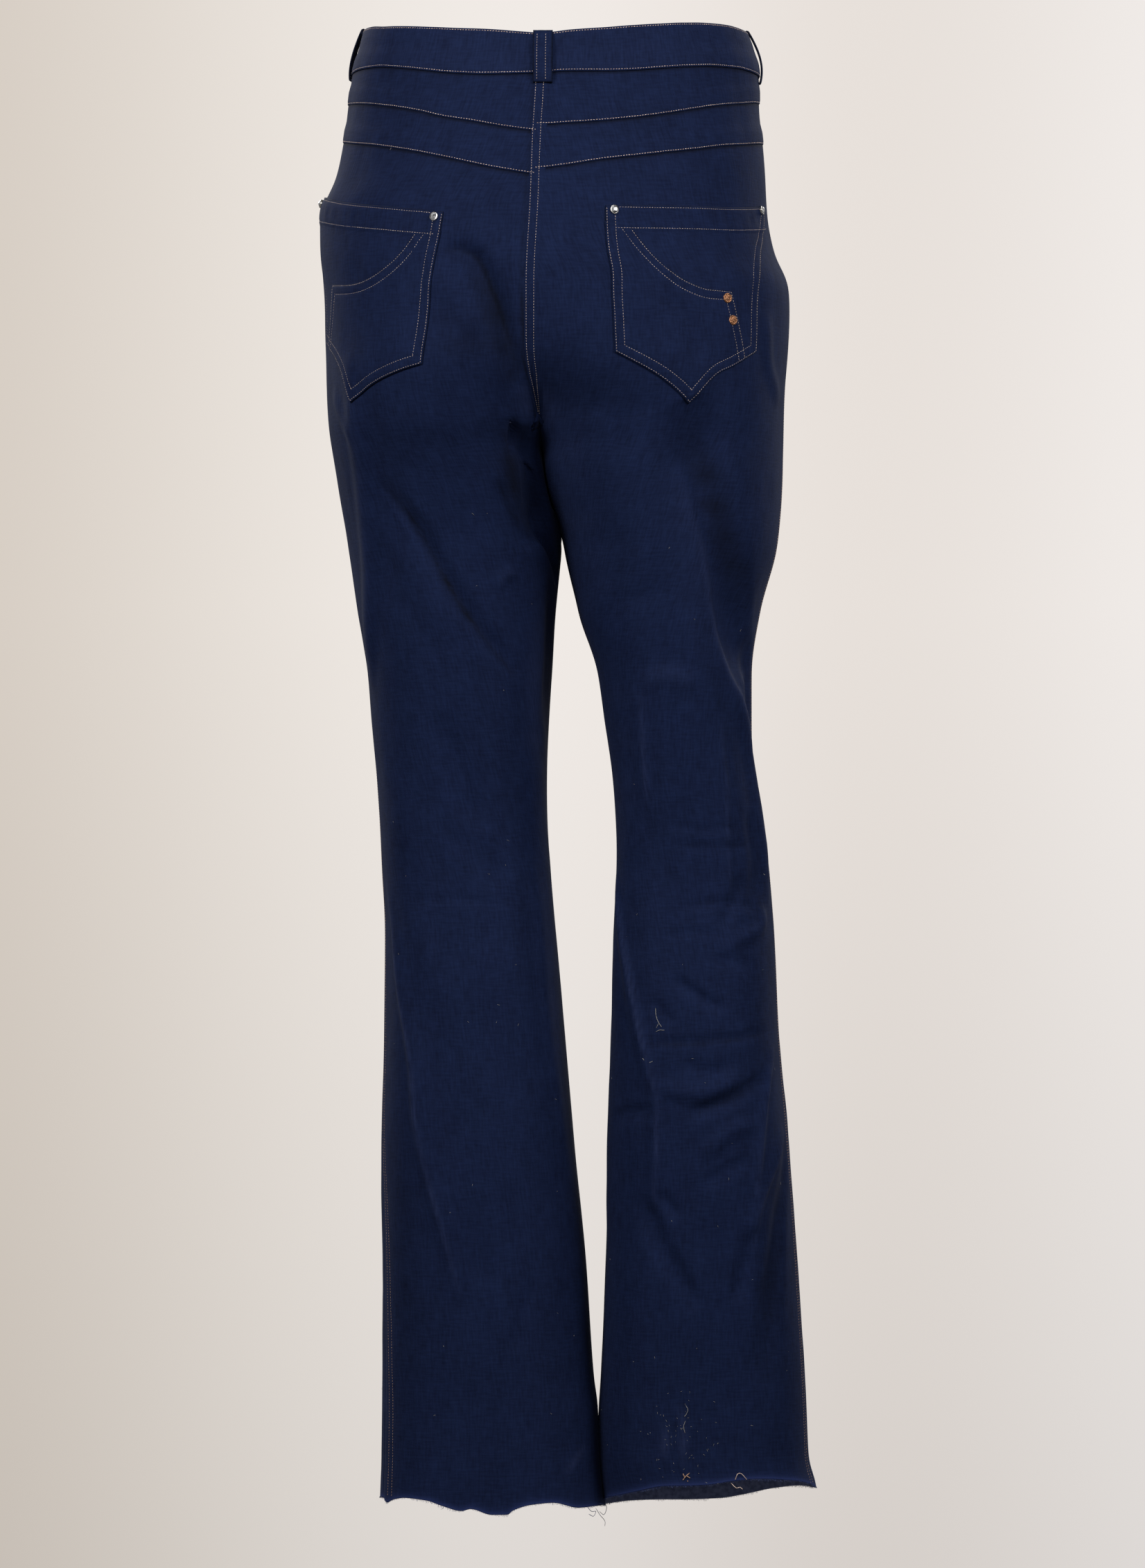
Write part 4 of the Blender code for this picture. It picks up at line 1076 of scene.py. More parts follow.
def overlayPiece(side):
    free, upright = smoothPath(pockets[side]["free"]), smoothPath(pockets[side]["upright"])
    wide, tall = pocketLook["overlaySize"]
    start = pocketLook["overlayFrom"]
    u = np.union1d(stopsAlong(wide, pocketLook["coarse"]), [(0.5 - start) / (1 - start)])
    v = stopsAlong(tall, pocketLook["coarse"])
    edges = pocketEdges(pockets[side])
    foot = footSpots(edges, start + (1 - start) * u)
    inner, height = edges["in"], free[-1][1]
    meeting = np.interp(-height, -inner[:, 1], inner[:, 0]), height
    down = np.vstack([meeting, inner[np.searchsorted(-inner[:, 1], -height) :]])
    top = alongPath(np.vstack([free, down[:1]]), u)
    upright = np.vstack([upright[:-1], foot[:1]])
    spots = patch(top, foot, alongPath(upright, v), alongPath(down, v))
    away = np.minimum(offPath(free, spots), offPath(upright, spots))
    shared = np.minimum.reduce([offPath(edges[name], spots) for name in ("in", "footOut", "footIn")])
    rounded = rounding(np.minimum(away, shared), pocketLook["rim"])
    out = pocketLook["lie"] + pocketLook["overlayLie"] * rounded - pocketLook["overlaySunk"]
    for row in pocketLook["rows"]:
        out = out + groove(away, row) + groove(shared, row)
    # painted shade along the overlay's free edges
    shade = np.exp(-((away / pocketLook["dark"]) ** 2))
    thickness = pocketLook["thickness"] * pocketLook["overlayThickness"]
    clothPatch("pocket_overlay", side, spots, out, thickness, shade, "pocket")


for side in hands:
    pocketPiece(side)
    overlayPiece(side)
print("pockets made")


def acrossSeam(face, across, height):  # side and distance of a spot measured from a centre seam
    side = "right" if across >= 0 else "left"
    return side, float(girth(side, face, height)) - abs(across)


def growTree():
    corners, faces, done = [], [], 0
    for some, theirs in surfaces:
        corners += [tuple(place) for place in some]
        faces += [tuple(corner + done for corner in face) for face in theirs]
        done += len(some)
    return BVHTree.FromPolygons(corners, faces)


seatReach = (0.012, 0.030)  # how far out the cloth over a spot is looked for, and how deep from there


def seated(tree, side, face, distance, height):  # the outermost cloth over a spot, and its outward normal
    point, normal = (Vector(values) for values in spotOn(side, face, distance, height))
    place, up, _, _ = tree.ray_cast(point + normal * seatReach[0], -normal, seatReach[1])
    if place is None:
        return point, normal
    return place, up if up.dot(normal) > 0 else -up


def seatedAcross(face, across, height):  # the same for a spot measured across from a centre seam
    side, distance = acrossSeam(face, across, height)
    return seated(cloth, side, face, distance, height)


cloth = growTree()
lap = {
    "thickness": 0.0008,
    "edge": -0.0040,  # across from the middle, where the right side is folded over the left
    "fade": 0.0085,
    "top": -0.038,
    "foot": -0.309,
    "rise": 0.0007,
    "rows": (-0.0025, 0.0034),
    "ending": 0.030,  # over which the lap and its rows draw together above the foot
    "footWidth": 0.35,
    "footRise": 0.3,
    "rowsFoot": 0.3,
    "rim": 0.0007,
    "sunk": 0.0002,
    "beside": 0.001,  # from the last row to where the lap begins to thin out
    "stopsDown": 150,
}


def centreLap():
    across = np.concatenate([np.arange(lap["edge"], -0.0005, 0.0006), np.linspace(0, lap["fade"], 9)])
    heights = np.linspace(lap["top"], lap["foot"], lap["stopsDown"])
    thinFrom = lap["rows"][1] + lap["beside"]
    shape = (len(heights), len(across))
    points, normals, places = np.empty(shape + (3,)), np.empty(shape + (3,)), np.empty(shape + (2,))
    for i, height in enumerate(heights):
        ending = min(1, (height - lap["foot"]) / lap["ending"])
        for j, aside in enumerate(across):
            width = lap["footWidth"] + (1 - lap["footWidth"]) * ending
            side, distance = acrossSeam("back", aside * width, height)
            place, up = seated(cloth, side, "back", distance, height)
            fall = min(max((aside - thinFrom) / (lap["fade"] - thinFrom), 0), 1)
            out = lap["rise"] * rounding(aside - lap["edge"], lap["rim"]) * (1 - fall**1.5)
            out -= lap["sunk"] * fall
            for row in lap["rows"]:
                out += float(groove(aside, row, depth=0.0003))
            points[i, j] = place + up * out * (lap["footRise"] + (1 - lap["footRise"]) * ending)
            normals[i, j] = up
            places[i, j] = (distance if side == "right" else distance + 2 * abs(aside), height)
    blur = np.array([0.25, 0.5, 0.25])
    for _ in range(2):
        inner = points[:-2] * blur[0] + points[1:-1] * blur[1] + points[2:] * blur[2]
        points = np.concatenate([points[:1], inner, points[-1:]])
    clothPiece("centre_back_lap", points, places, normals, lap["thickness"])


centreLap()
cloth = growTree()

loop = {
    "width": 0.0150,
    "length": 0.0412,
    "above": 0.0021,
    "clear": 0.0009,
    "stand": 0.0027,
    "roundness": 0.6,
    "thickness": 0.0011,
    "rows": (-0.0045, 0.0021),  # twin stitches, from the loop's middle
    "dark": 0.0011,  # how far in from its edges the cloth has painted shade
    "rim": 0.0012,
    "columns": 16,
    "stops": 56,
    "bare": (4, 3),  # rows of its net that have no stitches, at the top and the foot
}
# The face, the side or none for the middle, how far aside, and how far the ends slant
loops = {
    "belt_loop_centre_back": ("back", None, 0.0017, -0.0011),
    "belt_loop_left_side": ("back", "left", 0.016, 0.0),
    "belt_loop_right_side": ("back", "right", 0.016, 0.0),
    "belt_loop_left_front": ("front", "left", 0.095, 0.0),
    "belt_loop_right_front": ("front", "right", 0.095, 0.0),
}


loopCloth = {}  # the nets of points that the rows of stitches follow
grainShift = 0.3  # where the grain of the loops and of the fly's shield starts


def loopPiece(name, face, side, aside, slant):
    columns, rows = loop["columns"], loop["stops"]
    middleSide, middle = acrossSeam(face, aside, 0.0) if side is None else (side, aside)
    share = middle / float(girth(middleSide, face, 0.0))
    top = float(seamHeight(bandTop, middleSide, face, share)) + loop["above"]
    points, normals, places, inside = [], [], [], []
    for i in range(rows + 1):
        v = i / rows
        height = top - loop["length"] * v
        rise = max(math.sin(math.pi * v), 0) ** loop["roundness"]
        toEnd = min(v, 1 - v) * loop["length"]
        row, outs, spots = [], [], []
        for j in range(columns + 1):
            u = 0.5 - 0.5 * math.cos(math.pi * j / columns)
            across = (u - 0.5) * loop["width"]
            if side is None:
                here, distance = acrossSeam(face, aside + across + slant * (0.5 - v) * 2, height)
            else:
                here, distance = side, aside + across
            point, normal = (Vector(values) for values in spotOn(here, face, distance, height))
            within = min(u, 1 - u) * loop["width"]
            rounded = rounding(min(within, toEnd), loop["rim"])
            hollow = sum(groove(across, stitches) for stitches in loop["rows"])
            out = loop["clear"] + loop["stand"] * rise + loop["rim"] * rounded + hollow
            row.append(point + normal * out)
            outs.append(normal)
            spots.append((across + grainShift, height))
            inside.append(min(within, toEnd))
        points.append(row)
        normals.append(outs)
        places.append(spots)
    points, normals, places = (np.array(values, float) for values in (points, normals, places))
    loopCloth[name] = points, normals, places[..., 0] - grainShift
    inside = np.array(inside).reshape(rows + 1, columns + 1)
    # painted shade along the loop's edges
    marks = {"wearAndPaintedShading": -np.exp(-((inside / loop["dark"]) ** 2))}
    thickness, on = loop["thickness"], ["waistband_cloth"]
    clothPiece(f"{name}_cloth", points, places, normals, thickness, marks, nodes=[name])


for name, facts in loops.items():
    loopPiece(name, *facts)
bareCloth, cloth = cloth, growTree()  # without and with the belt loops
print("lap and belt loops made")


shield = {"top": -0.067, "foot": -0.185, "right": 0.006, "left": -0.034, "under": 0.0028, "thickness": 0.0012}


def flyShield():
    u, v = np.meshgrid(np.linspace(0, 1, 16), np.linspace(0, 1, 40))
    height = shield["top"] + (shield["foot"] - shield["top"]) * v
    across = shield["right"] + (shield["left"] - shield["right"]) * u
    points, normals = np.empty(height.shape + (3,)), np.empty(height.shape + (3,))
    for index in np.ndindex(height.shape):
        side, distance = acrossSeam("front", across[index], height[index])
        point, normal = spotOn(side, "front", distance, height[index])
        points[index], normals[index] = point - normal * shield["under"], normal
    places = np.stack([across + grainShift, height], axis=-1)
    name, thickness = "fly_shield", shield["thickness"]
    clothPiece(f"{name}_cloth", points, places, normals, thickness, held="hung", nodes=[name])


flyShield()

paleThread = mottled("paleThread", (0.36, 0.25, 0.20), (0.80, 0.64, 0.55), 0.7, 0.0, 900)
softThread = mottled("softThread", (0.20, 0.155, 0.140), (0.52, 0.43, 0.385), 0.7, 0.0, 900)
brownThread = mottled("brownThread", (0.26, 0.15, 0.10), (0.52, 0.34, 0.24), 0.7, 0.0, 900)
silver = mottled("silver", (0.45, 0.43, 0.40), (0.75, 0.74, 0.72), 0.25, 1.0, 600)
crystal = mottled("crystal", (0.10, 0.10, 0.10), (0.95, 0.97, 1.0), 0.06, 0.6, 420)
copper = mottled("copper", (0.09, 0.035, 0.018), (0.52, 0.26, 0.14), 0.38, 0.9, 1300, depth=0.0006)
darkCopper = mottled("darkCopper", (0.28, 0.12, 0.05), (0.48, 0.23, 0.11), 0.4, 1.0, 300)
lint = plainMaterial("lint", (0.30, 0.29, 0.27), 0.9)
fray = mottled("fray", (0.014, 0.022, 0.080), (0.05, 0.075, 0.22), 0.9, 0.0, 500)

stitch = {
    "pitch": 0.00215,
    "length": 0.00132,
    "radius": 0.00023,
    "wide": 1.1,  # its width and its height, as shares of the radius
    "tall": 0.8,
    "sunk": 0.00006,
    "tilt": 0.12,
    "uneven": 0.06,
    "stretch": 1.3,  # how far the halves of a ball of radius 1 are drawn apart to give its shape
}


def capsule():
    shape = bmesh.new()
    bmesh.ops.create_uvsphere(shape, u_segments=5, v_segments=4, radius=1)
    for vert in shape.verts:
        vert.co.z += stitch["stretch"] * (1 if vert.co.z > 0.01 else -1 if vert.co.z < -0.01 else 0)
    bmesh.ops.rotate(shape, matrix=Matrix.Rotation(math.radians(90), 3, "Y"), verts=shape.verts)
    return meshFrom("stitchShape", shape)


rowStep = 0.0012  # between the spots of a row that is yet to be stitched


def evenly(path, pitch):  # spots at an even pitch along a path, whose columns past the third aren't places
    path = np.asarray(path, float)
    along = lengthsAlong(path[:, :3])
    count = max(int(along[-1] / pitch), 1)
    places = (np.arange(count) + 0.5) * along[-1] / count
    return [tuple(np.interp(place, along, column) for column in path.T) for place in places]


def sewnLine(side, face, path, tree=None):  # (place, up) along a path of (distance, height)
    return [seated(tree or cloth, side, face, *spot) for spot in path]


def sew(name, lines, material):  # each line is a list of (place, up), densely laid
    shape = capsule()
    made = bmesh.new()
    for line in lines:
        places = np.array([tuple(place) for place, _ in line])
        ups = np.array([tuple(up) for _, up in line])
        spots = evenly(np.hstack([places, ups]), stitch["pitch"])
        for i, spot in enumerate(spots):
            place, up = Vector(spot[:3]), Vector(spot[3:]).normalized()
            after, before = Vector(spots[min(i + 1, len(spots) - 1)][:3]), Vector(spots[max(i - 1, 0)][:3])
            way = after - before
            if way.length < 1e-6:
                continue
            way.normalize()
            aside = up.cross(way).normalized()
            up = way.cross(aside)
            turn = Matrix((way, aside, up)).transposed()
            turn = turn @ Matrix.Rotation(draw.normal(0, stitch["tilt"]), 3, "Z")
            swell = 1 + draw.normal(0, stitch["uneven"])
            length = stitch["length"] / (2 + 2 * stitch["stretch"]) * swell
            sizes = length, stitch["radius"] * stitch["wide"], stitch["radius"] * stitch["tall"]
            copy = shape.copy()
            copy.transform(
                Matrix.Translation(place - up * stitch["sunk"]) @ turn.to_4x4() @ Matrix.Diagonal((*sizes, 1))
            )
            made.from_mesh(copy)
            bpy.data.meshes.remove(copy)
    mesh = meshFrom(name, made)
    mesh.shade_smooth()
    addPiece(name, mesh, [material], "thread")


def inset(path, by):  # a path moved to its left, with mitred corners
    path = np.asarray(path, float)
    steps = np.diff(path, axis=0)
    ways = steps / np.linalg.norm(steps, axis=1, keepdims=True)
    lefts = np.stack([-ways[:, 1], ways[:, 0]], axis=1)
    before, after = np.vstack([lefts[:1], lefts]), np.vstack([lefts, lefts[-1:]])
    middle = before + after
    return path + by * 2 * middle / (middle**2).sum(axis=1, keepdims=True)


def roundBody(line, face, drop):  # rows that run on under the loops
    made = []
    for side in hands:
        shares = np.linspace(0, 1, 220)
        heights = seamHeight(line, side, face, shares) + drop
        path = np.stack([shares * girth(side, face, heights), heights], axis=1)
        made.append(sewnLine(side, face, path, bareCloth))
    return made


topDrop, seamDrop = -band["topStitch"], band["seamStitch"]
bandRows, yokeRows = [], []
for face in otherFace:
    bandRows += roundBody(bandTop, face, topDrop) + roundBody(bandSeam, face, seamDrop)
for seam in (upperSeam, lowerSeam):
    yokeRows += roundBody(seam, "back", yoke["stitch"])
sew("stitches_band", bandRows, paleThread)
sew("stitches_yokes", yokeRows, paleThread)


def centreRows(face, rows, top, foot):
    made = []
    for aside in rows:
        line = []
        for height in np.arange(top, foot, -rowStep):
            ending = min(1, (height - foot) / lap["ending"])
            width = lap["rowsFoot"] + (1 - lap["rowsFoot"]) * ending
            line.append(seatedAcross(face, aside * width, height))
        made.append(line)
    return made


# Across from the middle, the top and the foot
centreSeams = {"back": (lap["rows"], -0.048, -0.302), "front": ((0.0014,), -0.066, -0.27)}
sew("stitches_centre_back", centreRows("back", *centreSeams["back"]), softThread)
sew("stitches_centre_front", centreRows("front", *centreSeams["front"]), paleThread)


def loopRows():
    made = []
    above, below = loop["bare"]
    for points, normals, across in loopCloth.values():
        for row in loop["rows"]:
            line = []
            for spots, ups, asides in list(zip(points, normals, across))[above:-below]:
                found = [[np.interp(row, asides, part) for part in values.T] for values in (spots, ups)]
                line.append([Vector(values) for values in found])
            made.append(line)
    return made


sew("stitches_loops", loopRows(), softThread)
fly = {
    "side": -0.0345,
    "top": -0.068,
    "turn": -0.188,
    "foot": -0.236,
    "rows": (0.0, 0.0064),
    "bandRow": 0.0016,  # how far in the row at the band's end lies, and its heights
    "bandHeights": (-0.0315, -0.0625, -0.001),
}


def flyRows():  # twin rows down the front and round to the centre seam, and the band's end
    made = []
    for row in fly["rows"]:
        reach, fall = -fly["side"] - row, fly["turn"] - fly["foot"] - row
        turns = np.linspace(0, 1.5, 24)
        bends = [(-reach * math.cos(turn), fly["turn"] - fall * math.sin(turn)) for turn in turns]
        spots = evenly([(-reach, fly["top"]), *bends], rowStep)
        made.append([seatedAcross("front", *spot) for spot in spots])
    across = band["lap"] - fly["bandRow"]
    made.append([seatedAcross("front", across, height) for height in np.arange(*fly["bandHeights"])])
    return made


sew("stitches_fly", flyRows(), paleThread)


def inward(path, by, ends):  # a row at a distance inside a path, cut short at its two ends
    row = np.array(evenly(inset(path, by), rowStep))
    row = row[offPath(path, row) > 0.93 * abs(by)]
    along = lengthsAlong(row)
    return row[(along >= ends[0]) & (along <= along[-1] - ends[1])]


def pocketLines(side):
    shape = pockets[side]
    edges = pocketEdges(shape)
    border = np.vstack([edges["out"], edges["footOut"][1:], edges["footIn"][1:], edges["in"][::-1][1:]])
    outer, inner = pocketLook["rows"]
    ends = pocketLook["rowEnds"]
    rows = [inward(border, outer, ends["outer"]), inward(border, inner, ends["inner"])]
    for name in ("topRow", "hemRow"):
        rows.append(inward(edges["top"][::-1], pocketLook[name], ends[name]))
    free = np.vstack([smoothPath(shape["upright"])[::-1], smoothPath(shape["free"])[1:]])
    last = free[-1] - free[-2]
    free = np.vstack([free, free[-1] + last * pocketLook["rowBeyond"] / np.linalg.norm(last)])
    for by in (-outer, -inner):
        row = inward(free, by, (0.0, 0.0))
        within = offPath(edges["top"], row) > pocketLook["hemBand"] - 0.0012
        for edge in ("in", "footOut", "footIn"):
            within &= offPath(edges[edge], row) > outer + 0.0004
        rows.append(row[within])
    return [sewnLine(side, "back", row) for row in rows]


for side in hands:
    sew(f"stitches_pocket_{side}", pocketLines(side), softThread)


outseams = {
    "rows": (0.0030, 0.0094),
    "turn": {"left": 0.0055, "right": 0.0},  # how far the rows turn towards the back low down
    "turnFrom": -0.82,
    "turnOver": 0.16,
}


def outseam(side):
    made = []
    top, foot = float(seamHeight(lowerSeam, side, "back", 0)), float(hemHeight(side, "back", 0))
    heights = np.arange(top, foot + 0.001, -0.003)
    share = np.clip((outseams["turnFrom"] - heights) / outseams["turnOver"], 0, 1)
    turn = outseams["turn"][side] * (0.5 - 0.5 * np.cos(math.pi * share))
    for aside in outseams["rows"]:
        made.append(sewnLine(side, "back", np.stack([aside + turn, heights], axis=1)))
    return made


for side in hands:
    sew(f"stitches_outseam_{side}", outseam(side), brownThread)
print("stitches made")


threadEnd = 0.4  # how thick its ends are, as a share of its radius


def threads(name, lines, radius, material):  # round threads through places, thinner at their ends
    curve = bpy.data.curves.new(name, "CURVE")
    curve.dimensions = "3D"
    curve.bevel_depth = radius
    curve.bevel_resolution = 0
    curve.use_fill_caps = True
    for line in lines:
        spline = curve.splines.new("POLY")
        spline.points.add(len(line) - 1)
        for i, (point, place) in enumerate(zip(spline.points, line)):
            point.co = (*place, 1)
            point.radius = 1 if 0 < i < len(line) - 1 else threadEnd
    guide = addObject(f"{name}Guide", curve)
    mesh = bpy.data.meshes.new_from_object(guide.evaluated_get(bpy.context.evaluated_depsgraph_get()))
    bpy.data.objects.remove(guide)
    mesh.name = name
    mesh.materials.clear()
    addPiece(name, mesh, [material], "thread")


fringe = {
    "each": 0.0006,
    "inside": 0.0008,
    "least": 0.0006,
    "most": 0.0024,
    "radius": 0.00011,
    "lean": 0.5,
    "clump": 0.006,
    "fullness": (0.6, 0.7, 0.15),  # its middle, how much it varies, and the least
    "sunk": -0.0003,
    "tipOut": 0.0005,
    "bend": (0.2, 0.4),  # the shares of the lean and of the reach at the bend
    "bendOut": (-0.0006, 0.0002),
}


def laidLines(side, face, lines):  # lines of spots as distance, height and how far out, all of one length
    spots = np.array(lines)
    return list(onBody(side, face, spots[..., 0], spots[..., 1], spots[..., 2])[0])


def hemFibres():
    made = []
    middle, varied, least = fringe["fullness"]
    aside, down = fringe["bend"]
    for side, face in body:
        lines = []
        length = float(girth(side, face, -1.135))
        for share in np.arange(0.002, 0.998, fringe["each"] / length):
            share = share + draw.uniform(-0.5, 0.5) * fringe["each"] / length
            foot = float(hemHeight(side, face, share))
            noise = latticeNoise(91, np.array(share * length / fringe["clump"]), np.array(0.5))
            fullness = max(middle + varied * float(noise), least)
            reach = draw.uniform(fringe["least"], fringe["most"]) * fullness
            along, lean = share * length, draw.normal(0, fringe["lean"]) * reach
            tip = (along + lean, foot - reach, draw.normal(0, fringe["tipOut"]))
            bend = (along + lean * aside, foot - reach * down, draw.uniform(*fringe["bendOut"]))
            lines.append([(along, foot + fringe["inside"], fringe["sunk"]), bend, tip])
        made += laidLines(side, face, lines)
    return made


threads("frayed_hem", hemFibres(), fringe["radius"], fray)

# Loose threads and lint: the side, the radius, and lines of spots as millimetres round, below the waist
# and out from the cloth
strands = {
    "loose_threads_hem_left": (
        "left", 0.22, fray, (
            (180, 1142.5, 0.4, 184, 1147, 1.6, 189, 1147.5, 1.8, 187, 1151, 1, 182, 1149, 0.6),
            (196, 1142, 0.4, 203, 1143, 1.8, 210, 1146, 1.6, 203, 1151, 1.2, 196, 1148, 0.5),
            (191, 1145, 0.4, 196, 1151, 1.2, 203, 1156, 1.6, 203, 1160, 1.4),
        ),
    ),
    "loose_threads_hem_right": (
        "right", 0.26, paleThread, (
            (88, 1120, 0.4, 85, 1115.5, 1.2, 82, 1115.5, 1.4, 79, 1120, 0.6),
            (92, 1122.5, 0.4, 89, 1126.2, 1, 86, 1125.8, 1, 84, 1127.5, 0.6),
        ),
    ),
    "copper_thread_right": (
        "right", 0.34, brownThread, (
            (128.5, 1120.5, 0.3, 125.5, 1117.5, 0.7, 121.8, 1114.8, 0.4),
            (126.2, 1118.2, 0.5, 126.8, 1115, 0.9),
            (124.8, 1116.8, 0.5, 122.2, 1118.5, 0.8),
            (125, 1120.6, 0.3, 124.6, 1121.3, 0.5),
        ),
    ),
    "lint_right": (
        "right", 0.15, lint, (
            (122.8, 1062.5, 0.3, 121.2, 1066, 0.5, 122.8, 1070, 0.5, 124, 1071.2, 0.3),
            (123.2, 1074.5, 0.3, 124.6, 1079, 0.5, 123.6, 1084, 0.3),
            (145.2, 757, 0.3, 144.6, 762, 0.5, 143, 767, 0.5, 140.2, 771.5, 0.3),
            (142.5, 769, 0.5, 144.5, 772.2, 0.4),
            (145, 775.2, 0.3, 141.5, 773.8, 0.6, 138, 774, 0.3),
            (155, 795.5, 0.2, 153.6, 797.2, 0.3),
            (150, 799, 0.2, 148, 797.8, 0.3),
            (36.2, 654.5, 0.3, 34.8, 655.5, 0.6),
        ),
    ),
}  # fmt: skip


def looseThreads():
    for name, (side, radius, material, lines) in strands.items():
        made = []
        for line in lines:
            spots = metres(np.reshape(line, (-1, 3))) * (1, -1, 1)
            made += laidLines(side, "back", [smoothPath(spots, 5)])
        threads(name, made, metres(radius), material)


looseThreads()
specks = {
    "count": 120,
    "byHem": 60,  # more of them, on the right leg's back
    "hemSpot": (0.125, -1.090),
    "spread": (0.022, 0.018),
    "radius": 0.00010,
    "out": 0.0003,
    "reach": (0.0004, 0.0012),
    "hemReach": (0.0003, 0.0010),
}


def speck(distance, height, reach, turn):  # a short straight bit of lint
    across, up = reach * math.cos(turn), reach * math.sin(turn)
    return [(distance + way * across, height + way * up, specks["out"]) for way in (-1, 0, 1)]


def lintSpecks():
    lines = {quarter: [] for quarter in body}
    for i in range(specks["count"]):
        side, face = list(body)[i % 4]
        height = -0.07 - 1.05 * draw.uniform(0, 1) ** 0.7
        length = float(girth(side, face, height))
        distance, turn = draw.uniform(0.05, 0.95) * length, draw.uniform(0, math.pi)
        lines[side, face].append(speck(distance, height, draw.uniform(*specks["reach"]), turn))
    for _ in range(specks["byHem"]):
        spot = draw.normal(specks["hemSpot"], specks["spread"])
        reach, turn = draw.uniform(*specks["hemReach"]), draw.uniform(0, math.pi)
        lines["right", "back"].append(speck(*spot, reach, turn))
    return [line for quarter, some in lines.items() for line in laidLines(*quarter, some)]


threads("lint_specks", lintSpecks(), specks["radius"], lint)
print("loose threads made")


def turned(profile, segments):  # a round shape from (radius, height) pairs in millimetres, closed at its foot
    shape = bmesh.new()
    corners = [shape.verts.new((radius, 0, height)) for radius, height in metres(profile)]
    edges = [shape.edges.new(pair) for pair in zip(corners, corners[1:])]
    bmesh.ops.spin(
        shape, geom=corners + edges, axis=(0, 0, 1), cent=(0, 0, 0), steps=segments,
        angle=2 * math.pi, use_merge=True,
    )  # fmt: skip
    bmesh.ops.remove_doubles(shape, verts=shape.verts, dist=1e-6)
    bmesh.ops.recalc_face_normals(shape, faces=shape.faces)
    return shape


def roundPiece(name, profile, segments, spot, material, slotName, *nodes, smooth=False):
    side, face, distance, height = spot
    place, up = seated(cloth, side, face, distance, height)
    shape = turned(profile, segments)
    shape.transform(Matrix.Translation(place) @ up.to_track_quat("Z", "Y").to_matrix().to_4x4())
    mesh = meshFrom(name, shape)
    if smooth:
        mesh.shade_smooth()
    addPiece(name, mesh, [material], slotName, *nodes)


stud = {
    "cup": ((0, -0.4), (3.6, -0.4), (3.6, 0.6), (3.4, 1.1), (3.0, 1.2), (2.8, 0.8), (0, 0.8)),
    "stone": ((0, 0.2), (2.9, 0.8), (2.9, 1.2), (2.2, 2.1), (1.3, 2.6), (0, 2.6)),
}
rivet = (
    (0, -0.3), (3.8, -0.3), (3.9, 0.3), (3.7, 0.8), (3.2, 1.0), (2.7, 0.8), (2.2, 0.8), (1.4, 1.1), (0, 1.2),
)  # fmt: skip
button = {
    "shape": (
        (0, -0.3), (8.0, -0.3), (8.6, 1.0), (8.6, 2.2), (7.8, 3.0),
        (6.6, 2.8), (6.0, 2.2), (3.0, 2.2), (0, 2.6),
    ),
    "across": 0.015,
    "height": -0.047,
}  # fmt: skip
for side in hands:
    for end in ("in", "out"):
        spot = (side, "back", *pockets[side][f"stud{end.title()}"][0])
        node = f"stone_stud_{side}_{end}"
        roundPiece(f"cup_{side}_{end}", stud["cup"], 20, spot, silver, "bright_metal", node)
        roundPiece(f"stone_{side}_{end}", stud["stone"], 8, spot, crystal, "clear_stone")
for name in ("upper", "lower"):
    spot = ("right", "back", *pockets["right"][f"rivet{name.title()}"][0])
    roundPiece(f"rivet_{name}", rivet, 24, spot, copper, "copper", f"copper_rivet_{name}", smooth=True)
side, distance = acrossSeam("front", button["across"], button["height"])
spot = (side, "front", distance, button["height"])
roundPiece("button", button["shape"], 32, spot, darkCopper, "dark_copper", "waist_button", smooth=True)
print("metal trims made")

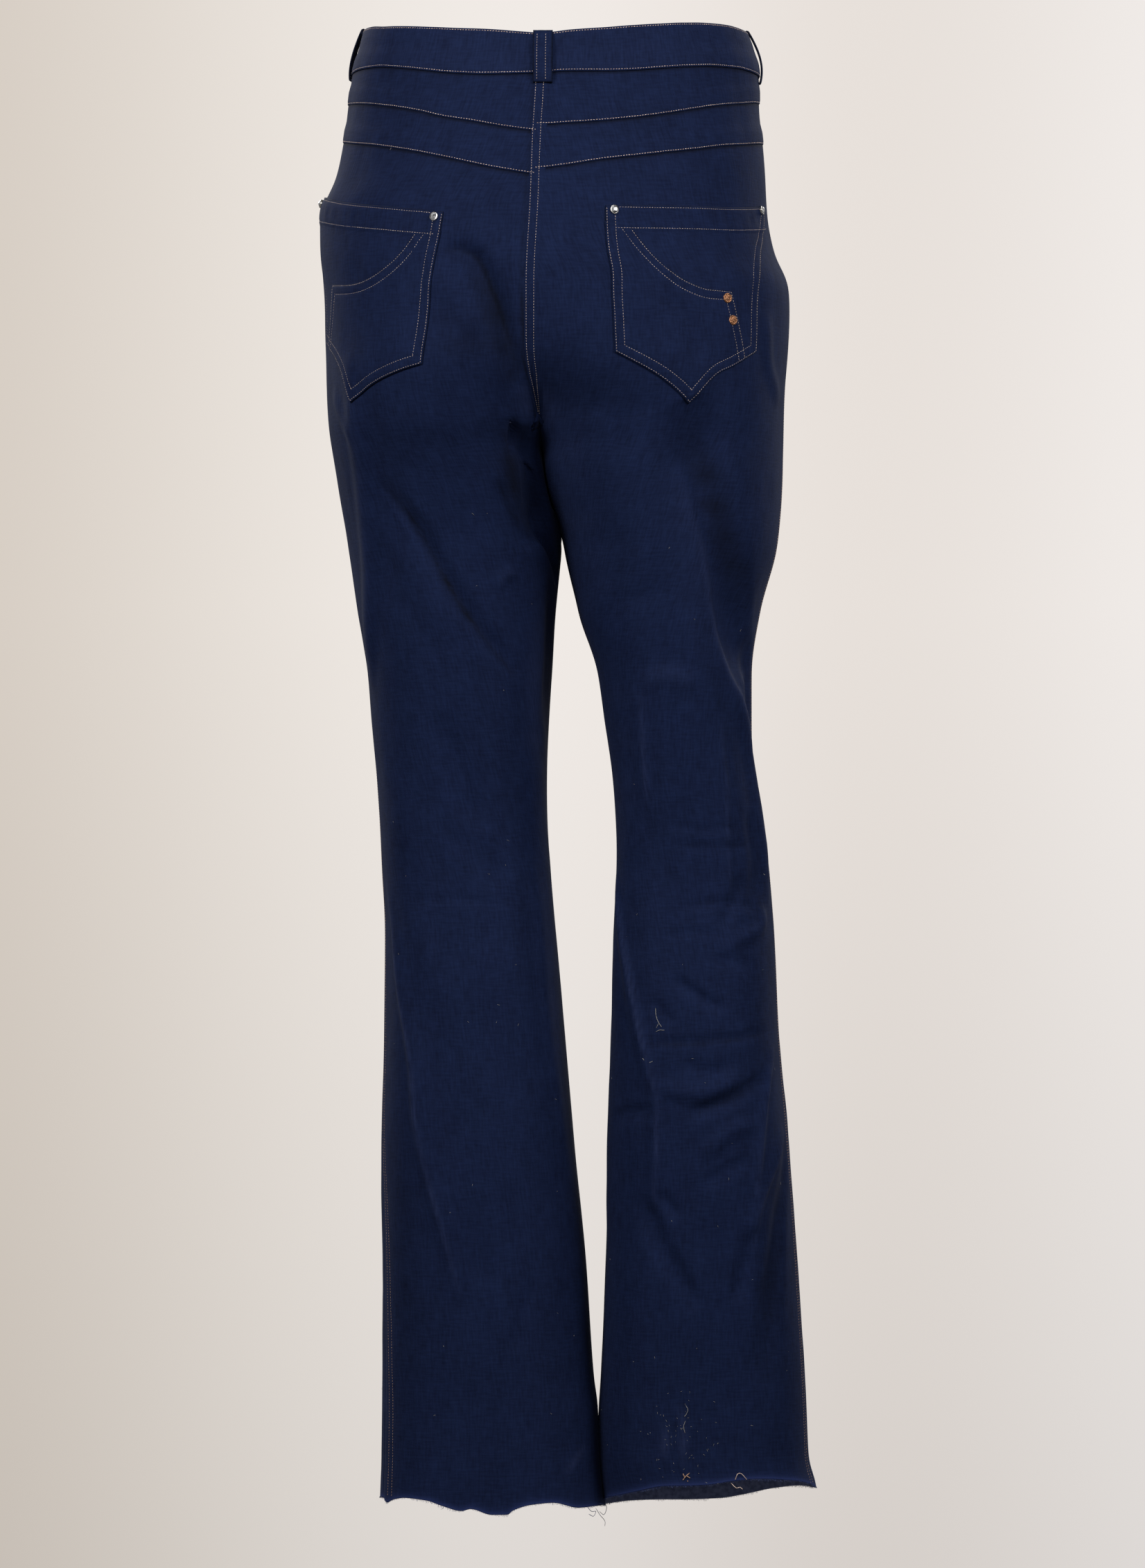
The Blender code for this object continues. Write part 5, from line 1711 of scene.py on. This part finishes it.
studio = {
    "ambient": (0.15, 0.1455, 0.141),
    "aim": (0, 0, -0.35),
    # Place, size, power and colour
    "lights": {
        "keyLeft": ((-1.80, -1.85, 0.9), 1.2, 52, (1.0, 0.98, 0.96)),
        "keyRight": ((1.85, -1.85, 0.9), 1.3, 50, (1.0, 0.98, 0.96)),
        "fill": ((0.0, -2.8, 1.4), 1.4, 24, (1.0, 0.98, 0.97)),
        "front": ((0.0, 3.2, 1.0), 1.6, 34, (1.0, 0.98, 0.96)),
        "behindLeft": ((-1.8, 2.2, 1.0), 1.6, 36, (1.0, 0.98, 0.96)),
        "behindRight": ((1.9, 2.2, 1.0), 1.6, 32, (1.0, 0.98, 0.96)),
    },
    # Shares of the way across, and the colour of the backdrop there, with painted light and painted shade
    "backdrop": (
        (0.0, (0.635, 0.570, 0.505)),
        (0.25, (0.805, 0.755, 0.705)),
        (0.5, (0.900, 0.855, 0.825)),
        (0.75, (0.735, 0.675, 0.625)),
        (1.0, (0.880, 0.845, 0.825)),
    ),
    "across": (-0.066, 0.066),  # the sideways directions where the backdrop's colours start and end
    "down": (-0.095, 0.02),  # the upward directions between which it has painted shade
    "shade": (0.84, 1.02),
    "camera": (0.0129, -7, -0.585),
    "lens": 206.7,
}


def addCamera():
    data = bpy.data.cameras.new("camera")
    data.lens = studio["lens"]
    data.clip_end = 100
    camera = addObject("camera", data)
    camera.location = studio["camera"]
    camera.rotation_euler = (math.radians(90), 0, 0)
    bpy.context.scene.camera = camera


def addLight(name, place, size, power, colour):
    data = bpy.data.lights.new(name, "AREA")
    data.shape = "DISK"
    data.size = size
    data.energy = power
    data.color = colour
    light = addObject(name, data)
    light.location = place
    light.rotation_euler = (Vector(studio["aim"]) - Vector(place)).to_track_quat("-Z", "Y").to_euler()


def addBackdrop():  # pale, with painted light and shade, where the camera sees it, and dimmer where it lights the cloth
    world = bpy.data.worlds.new("studio")
    bpy.context.scene.world = world
    world.use_nodes = True
    tree = world.node_tree
    way = addNode(tree, "SeparateXYZ", {0: addNode(tree, "TexCoord").outputs["Generated"]}).outputs

    def rising(value, start, end, low=0.0, high=1.0):
        inputs = {"Value": value, "From Min": start, "From Max": end, "To Min": low, "To Max": high}
        return addNode(tree, "MapRange", inputs).outputs["Result"]

    sides = addRamp(tree, rising(way["X"], *studio["across"]), studio["backdrop"], "B_SPLINE")
    shade = rising(way["Z"], *studio["down"], *studio["shade"])
    shaded = addNode(tree, "VectorMath", {0: sides, "Scale": shade}, operation="SCALE").outputs[0]
    seen = addNode(tree, "LightPath").outputs["Is Camera Ray"]
    mix = {0: seen, 6: (*studio["ambient"], 1), 7: shaded}
    colour = addNode(tree, "Mix", mix, data_type="RGBA").outputs[2]
    setInputs(tree.nodes["Background"], {"Color": colour, "Strength": 1.0})


addCamera()
addBackdrop()
for name, facts in studio["lights"].items():
    addLight(name, *facts)
bpy.context.scene.view_settings.view_transform = "Standard"
